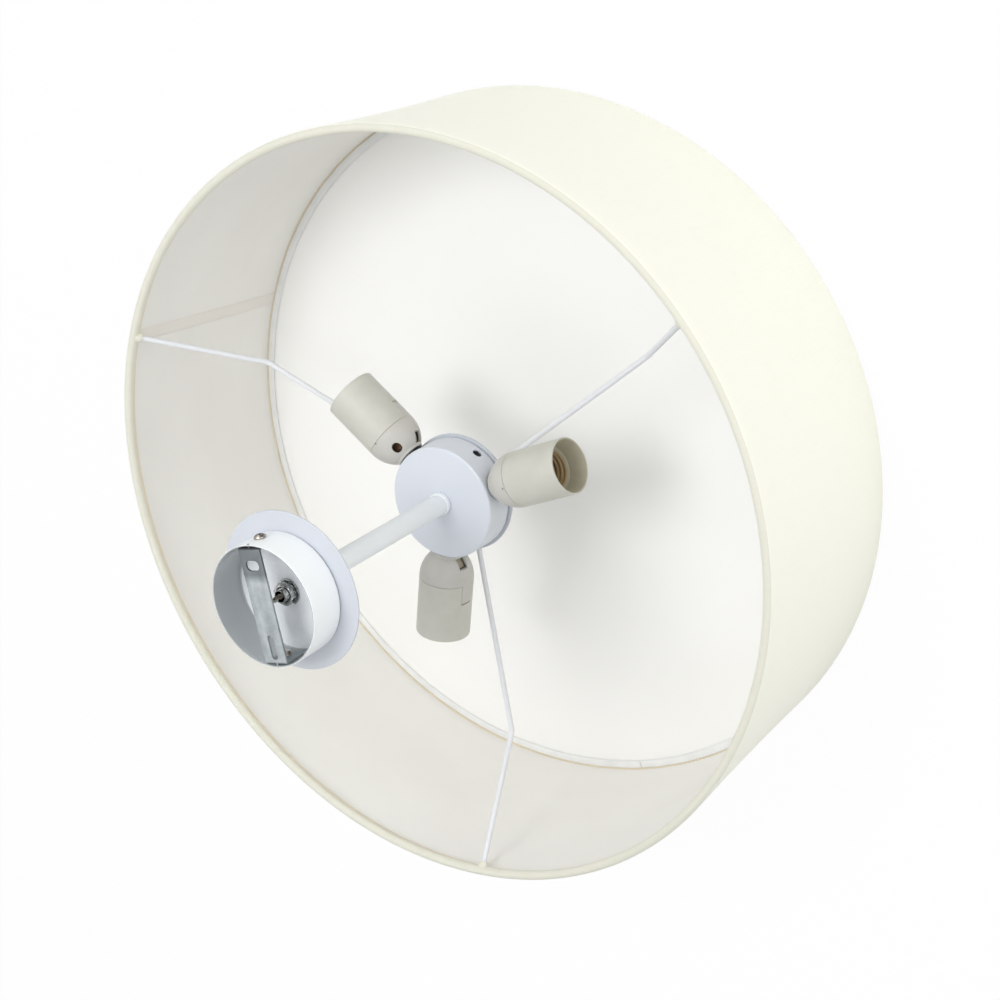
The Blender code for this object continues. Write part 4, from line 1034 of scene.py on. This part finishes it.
def domeOutline():
    wall, neckAt, seamAt = holder["wall"], holder["neckAt"], holder["seam"]
    height = seamAt - neckAt
    inside, outside, low = holder["collar"]
    outer = [(inside, neckAt), (inside, low), (outside - 0.2, low), (outside, low + 0.2)]
    inner = [(holder["neck"] - wall, neckAt + wall)]
    for i in range(21):
        a = math.radians(90.0 * i / 20)
        along = 1 - math.cos(a)
        if domeReach(a) > outside + 0.1:
            outer.append((domeReach(a), neckAt + height * along))
            inner.append((domeReach(a) - wall, neckAt + wall + (height - wall) * along))
    spigot = holder["radius"] - wall - air
    tip = seamAt + holder["spigot"]
    thin = spigot - wall
    inner[-1] = (thin, seamAt)
    boss, bossTop = holder["boss"], neckAt + holder["bossLength"]
    return (outer + [(spigot, seamAt + 0.05), (spigot, tip), (thin, tip)] + inner[::-1]
            + [(boss, neckAt + wall), (boss, bossTop), (nippleHole, bossTop), (nippleHole, neckAt)])


def wedge(bm, inner, outer, low, high, angle, centre, place):
    spin(bm, rect(inner, outer, low, high), 16, start=centre - angle / 2, sweep=angle, place=place)


def latchLine():
    # The lock's springy plate, which lies behind the release hole and follows the dome
    latch = holder["latch"]
    face = []
    for level in latch["levels"]:
        a = math.acos(1 - (level - holder["neckAt"]) / (holder["seam"] - holder["neckAt"]))
        face.append((domeReach(a) - latch["deep"], level))
    return face + [(r - latch["thick"], z) for r, z in face[::-1]]


def makeDome(number, place, turn):
    dome = turnedPiece(f"holder{number}Dome", domeOutline(), holder["steps"], "ivoryDome", place=place)
    bm = bmesh.new()
    wedge(bm, holder["radius"] - holder["wall"] - air / 2, holder["radius"], holder["seam"] - 1.5,
          holder["seam"] + holder["tongueLength"], holder["tongueAngle"], turn, place)
    carve(dome, bm, "UNION")
    releaseTurn = holder["releaseTurns"][number - 1]
    pierce(dome, oblong(*holder["release"]), *holder["releaseCut"],
           spoke(releaseTurn, holder["releaseAt"], place))
    pierce(dome, circle(holder["round"], 40), *holder["roundCut"],
           spoke(*holder["roundPlaces"][number - 1], place))
    if number in holder["markPlaces"]:
        pierce(dome, circle(holder["mark"], 16), *holder["markCut"],
               spoke(*holder["markPlaces"][number], place))
    # The latch plate gets the darker tan copy of the ivory, painted shade behind the release hole
    dome.data.materials.append(finishes["latch"])
    bm = bmesh.new()
    angle = holder["latch"]["angle"]
    spin(bm, latchLine(), 16, start=releaseTurn - angle / 2, sweep=angle, place=place, number=1)
    carve(dome, bm, "UNION")
    settle(softened(dome, 0.18), "fixture", f"holder_{number}_dome")


def skirtSection(angle):
    radius, wall = holder["radius"], holder["wall"]
    shoulder = holder["mouth"] - holder["recess"]
    start, end = shoulder - 0.9, shoulder - holder["sleeveLength"]
    middle = (holder["major"] + holder["minor"]) / 2
    depth = (holder["major"] - holder["minor"]) / 2
    samples = 60
    thread = []
    for i in range(samples + 1):
        level = start + (end - start) * i / samples
        fade = min(1.0, i / 8, (samples - i) / 8)
        wave = math.sin(2 * math.pi * level / holder["pitch"] - angle)
        wave = math.copysign(abs(wave) ** 0.8, wave)
        thread.append((middle + depth * fade * wave, level))
    lip = eased([(radius, shoulder), (radius, holder["mouth"]), (radius - wall + 0.15, holder["mouth"]),
                 (holder["recessRadius"], shoulder), (holder["recessRadius"] - 2, shoulder)], 0.55, 4)[5:-5]
    mouthIn, mouthOut, rise = holder["entry"]
    return ([(radius, holder["seam"] + air), (radius, shoulder)] + lip
            + [(mouthOut + 0.6, shoulder), (mouthOut + 0.3, shoulder - 0.4), (mouthOut, shoulder - 0.4),
               (mouthOut - 0.15, shoulder + rise - 0.15), (mouthOut - 0.3, shoulder + rise),
               (mouthIn + 0.6, shoulder + rise), (mouthIn + 0.35, shoulder + rise - 0.2),
               (mouthIn, shoulder - 0.2)] + thread
            + [(holder["sleeve"], end), (holder["sleeve"], shoulder - wall), (radius - wall, shoulder - wall),
               (radius - wall, holder["seam"] + air)])


def makeSkirt(number, place, turn):
    line = skirtSection(0.0)

    # The thread and the recess get the darker, warmer copies of the ivory, painted shade inside the mouth
    def part(j):
        reach = max(line[j][0], line[(j + 1) % len(line)][0])
        return 2 if reach < holder["entry"][0] + 0.1 else 1 if reach < holder["radius"] - 0.8 else 0
    bm = bmesh.new()
    spin(bm, skirtSection, holder["steps"], place=place, numberOf=part)
    skirt = finished(f"holder{number}Skirt", bm, ["ivory", "ivoryInsideShade", "ivoryThreadShade"], 40)
    bm = bmesh.new()
    spare = math.degrees(air / holder["radius"])
    wedge(bm, holder["radius"] - holder["wall"] - 1.0, holder["radius"] + 1.0, holder["seam"] - 1.0,
          holder["seam"] + holder["tongueLength"] + holder["tongueGap"],
          holder["tongueAngle"] + 2 * spare, turn, place)
    if number == holder["notched"]:
        side, at, tall, wide = holder["notch"]
        prism(bm, oblong(tall, wide), *holder["notchCut"], spoke(side, at, place))
    carve(skirt, bm)
    settle(skirt, "fixture", f"holder_{number}_skirt")


carrier = {"front": 38.0, "nose": 12.0, "flange": 3.0, "foot": 8.0, "side": 10.6, "strip": 0.6, "width": 5.0,
           "slot": 6.0, "rise": 3.4, "sideRise": 7.5, "travel": 1.5, "core": (8.0, 10.2, 8.0)}


def makeCarrier(number, place):
    tip = holder["seam"] + holder["spigot"] + air
    inside = holder["radius"] - 2 * holder["wall"] - 2 * air
    flange = holder["radius"] - holder["wall"] - 2 * air
    back = holder["seam"] + 1.5
    front = carrier["front"]
    hollow, core, tail = carrier["core"]
    outline = [(0.0, back), (hollow, back), (hollow, tail), (core, tail), (core, back), (inside, back),
               (inside, tip), (flange, tip), (flange, tip + carrier["flange"]),
               (carrier["nose"] + 1.5, tip + carrier["flange"]), (carrier["nose"], front), (0.0, front)]
    line = eased(outline, 0.4)
    bm = bmesh.new()
    spin(bm, line, 72, place=place, numberOf=lambda j: 1 if line[j][1] < holder["seam"] else 0)
    body = finished(f"holder{number}Carrier", bm, ["carrier", "carrierBack"])
    x, y = carrier["strip"] / 2 + air, carrier["width"] / 2 + air
    low = front - carrier["slot"] - carrier["travel"]
    for at in (-carrier["foot"], carrier["side"]):
        pierce(body, rect(at - x, at + x, -y, y), low, front + 1, place)
    settle(body, "fixture", f"holder_{number}_carrier")


def bentStrip(name, path, width, place):
    bm = bmesh.new()
    prism(bm, ribbon(path, carrier["strip"]), -width / 2, width / 2, place @ upright)
    return softened(finished(name, bm, ["brass"], 50), 0.12)


def makeContacts(number, place):
    front = carrier["front"]
    foot = front - carrier["slot"] + air
    level = front + carrier["rise"] - carrier["strip"] / 2
    x = -carrier["foot"]
    middle = [(x, foot), (x, level - 1.9), (x + 0.3, level - 1.1), (x + 1.1, level - 0.65),
              (x + 2.4, level - 0.4), (-3.4, level - 0.15), (-2.2, level), (2.2, level), (3.2, level - 0.25),
              (3.9, level - 0.75)]
    piece = bentStrip(f"holder{number}CentreContact", middle, carrier["width"], place)
    settle(piece, f"contact_{number}", f"holder_{number}_centre_contact")
    tip = front + carrier["sideRise"]
    x = carrier["side"]
    side = [(x, foot), (x, front + 1.6), (x - 0.2, front + 3.0), (x - 0.8, tip - 2.2), (x - 0.75, tip - 1.6),
            (x, tip)]
    piece = bentStrip(f"holder{number}SideContact", side, carrier["width"], place)
    settle(piece, "fixture", f"holder_{number}_side_contact")


def makeHolder(number):
    place = holderPlace(number)
    turn = holder["tongueTurns"][number - 1]
    makeDome(number, place, turn)
    makeSkirt(number, place, turn)
    makeCarrier(number, place)
    makeContacts(number, place)
    reach, thick = holder["ring"]
    line = rect(nippleHole, reach, air, air + thick)
    ring = turnedPiece(f"holder{number}NeckRing", line, 72, "darkSteel", 0.3, place=place)
    settle(ring, "fixture", f"holder_{number}_neck_ring")
    low, high = -7.0, holder["neckAt"] + 8.5
    nipple = threadedTube(f"holder{number}Nipple", low, high, "zinc", place, 32)
    settle(nipple, "fixture", f"holder_{number}_nipple")
    # The nut's corners meet the can's curved wall from inside
    corner = fixings["flats"] / 2 / math.cos(math.radians(30))
    inside = hub["radius"] - hub["wall"]
    face = math.sqrt(inside ** 2 - corner ** 2) - hub["radius"] - air
    nut = hexNut(f"holder{number}Nut", face - fixings["nutThick"], face, "nickel", place)
    settle(nut, "fixture", f"holder_{number}_nut")


# Lead and terminal block

lead = {"core": 0.88, "apart": 1.8, "twists": 1.3, "phase": 0.6, "stem": 1.7}
block = {"length": 14.0, "thick": 6.0, "side": 4.2, "face": -6.0, "poles": 2, "pitch": 5.4, "bore": 1.6,
         "groove": 1.4, "grooveDeep": 1.1}


def smooth(points, perSpan):
    ends = [2 * points[0] - points[1]] + points + [2 * points[-1] - points[-2]]
    line = []
    for a, b, c, d in zip(ends, ends[1:], ends[2:], ends[3:]):
        for i in range(perSpan):
            t = i / perSpan
            line.append(0.5 * (2 * b + (c - a) * t + (2 * a - 5 * b + 4 * c - d) * t * t
                               + (3 * b - a - 3 * c + d) * t * t * t))
    return line + [points[-1]]


def twisted(points, apart, twists, phase):
    # The path of one core of a pair that turn about each other
    side = (points[1] - points[0]).orthogonal().normalized()
    line = []
    for i, point in enumerate(points):
        ahead = (points[min(i + 1, len(points) - 1)] - points[max(i - 1, 0)]).normalized()
        side = (side - ahead * side.dot(ahead)).normalized()
        turn = phase + 2 * math.pi * twists * i / (len(points) - 1)
        line.append(point + (side * math.cos(turn) + ahead.cross(side) * math.sin(turn)) * apart / 2)
    return line


def makeLead():
    top = span("upper_nipple")[1]
    blockTop = -strip["thick"] - air
    start = Vector((0, 0, top + air))
    end = Vector((block["face"] + air, block["side"] + block["thick"] / 2, blockTop - block["pitch"]))
    points = smooth([start, start + Vector((0, 0, 2.2)), Vector((-1.1, 1.4, top + 5.0)),
                     Vector((-2.7, 4.2, top + 7.6)), end + Vector((1.9, -0.2, 0)), end], 10)
    cores = []
    for name, material, start in (("greyCore", "lead", 0.0), ("brownCore", "brownLead", math.pi)):
        bm = bmesh.new()
        path = twisted(points, lead["apart"], lead["twists"], lead["phase"] + start)
        sweep(bm, path, circle(lead["core"], 16))
        cores.append(finished(name, bm, [material], 60))
    settle(joined("canopyLead", cores), "fixture", "canopy_lead")
    low, high = span("stem_cable")
    bm = bmesh.new()
    sweep(bm, [(0, 0, high), (0, 0, (low + high) / 2), (0, 0, low)], circle(lead["stem"], 20))
    settle(finished("stemCable", bm, ["lead"], 60), "fixture", "stem_cable")


def makeBlock():
    high = -strip["thick"] - air
    low = high - block["poles"] * block["pitch"]
    x0, x1 = block["face"] - block["length"], block["face"]
    y0, y1 = block["side"], block["side"] + block["thick"]
    bm = bmesh.new()
    prism(bm, rect(x0, x1, y0, y1), low, high)
    body = finished("terminalBlock", bm, ["terminal"])
    bm = bmesh.new()
    for pole in range(block["poles"]):
        level = high - block["pitch"] * (pole + 0.5)
        prism(bm, circle(block["bore"], 24), x0 - 1, x1 + 1,
              Matrix.Translation((0, (y0 + y1) / 2, level)) @ quarter)
    notch = high - block["pitch"]
    half = block["groove"] / 2
    prism(bm, rect(x0 - 1, x1 + 1, y0 - 1, y0 + block["grooveDeep"]), notch - half, notch + half)
    carve(body, bm)
    settle(softened(body, 0.35), "fixture", "terminal_block")


# Camera, lamps and floor

def makeCamera():
    camera = bpy.data.cameras.new("camera")
    camera.lens = view["lens"]
    camera.sensor_width = 36.0
    camera.sensor_fit = "HORIZONTAL"
    camera.shift_x, camera.shift_y = view["shift"]
    camera.clip_end = 20.0
    forward = Vector(view["looksAlong"]).normalized()
    right = forward.cross(Vector(view["up"])).normalized()
    turn = Matrix((right, right.cross(forward), -forward)).transposed().to_4x4()
    thing = addObject("camera", camera)
    thing.matrix_world = Matrix.Translation(view["place"]) @ turn
    bpy.context.scene.camera = thing


# Places are in metres in the object's frame, and every lamp faces the middle
lamps = {
    "top": {"place": (0.0, 0.0, 1.65), "size": 3.0, "power": 13.1},
    "key": {"place": (0.6436, 0.0, 1.5377), "size": 0.7, "power": 10.7},
    "side": {"place": (1.3435, 0.0, 1.0935), "size": 2.5, "power": 6.8},
    "low": {"place": (0.188, -1.877, -0.025), "size": 1.6, "power": 14.1},
}
room = {"middle": (0, 0, -0.25), "sky": (0.98, 0.99, 1.0, 1.0), "world": 0.4, "floor": (246, 246, 246),
        "showing": 0.96, "half": 4000, "gap": 0.5, "thick": 20}


def makeLamps():
    for name, lamp in lamps.items():
        light = bpy.data.lights.new(name, "AREA")
        light.energy = lamp["power"]
        light.size = lamp["size"]
        place = Vector(lamp["place"])
        aim = (Vector(room["middle"]) - place).to_track_quat("-Z", "Y").to_matrix().to_4x4()
        addObject(name, light).matrix_world = Matrix.Translation(place) @ aim


def whiteToCamera(tree, plain, surface, share, out):
    # The camera and reflections see the white surface, and all other light meets the plain one
    path = addNode(tree, "ShaderNodeLightPath", {}, {}).outputs
    seen = sums(tree, "MAXIMUM", path["Is Camera Ray"], path["Is Glossy Ray"])
    seen = sums(tree, "MAXIMUM", seen, path["Is Transmission Ray"])
    factor = sums(tree, "MULTIPLY", seen, share)
    mix = addNode(tree, "ShaderNodeMixShader", {}, {0: factor, 1: plain.outputs[0], 2: surface.outputs[0]})
    tree.links.new(mix.outputs[0], tree.nodes.new(out).inputs[0])


def makeRoom():
    world = bpy.data.worlds.new("studio")
    bpy.context.scene.world = world
    world.use_nodes = True
    tree = world.node_tree
    tree.nodes.clear()
    white = {"Color": (1, 1, 1, 1), "Strength": 1.0}
    kind = "ShaderNodeBackground"
    soft = addNode(tree, kind, {}, {"Color": room["sky"], "Strength": room["world"]})
    whiteToCamera(tree, soft, addNode(tree, kind, {}, white), 1.0, "ShaderNodeOutputWorld")

    material = bpy.data.materials.new("paleFloor")
    material.use_nodes = True
    tree = material.node_tree
    tree.nodes.clear()
    plain = addNode(tree, "ShaderNodeBsdfDiffuse", {}, {"Color": paint(room["floor"])})
    glow = addNode(tree, "ShaderNodeEmission", {}, white)
    whiteToCamera(tree, plain, glow, room["showing"], "ShaderNodeOutputMaterial")
    half, level = room["half"], drum["low"] - room["gap"]
    bm = bmesh.new()
    prism(bm, rect(-half, half, -half, half), level - room["thick"], level)
    floor = finished("floor", bm, [])
    floor.data.materials.append(material)
    bpy.context.scene.view_settings.view_transform = "Standard"


makeCamera()
makeLead()
makeBlock()
print("camera and lead placed")
lining = makeDrum()
makeSeam(lining)
makeRings()
makeSpider()
makeDiffuser()
print("shade, spider and diffuser made")
makeHub()
makeStem()
makeCanopy()
makeBracket()
makeScrews()
makeFixings()
makeRetainers()
print("hub, stem and canopy made")
for number in range(1, holder["count"] + 1):
    makeHolder(number)
    print("lampholder made:", number)
makeLamps()
makeRoom()
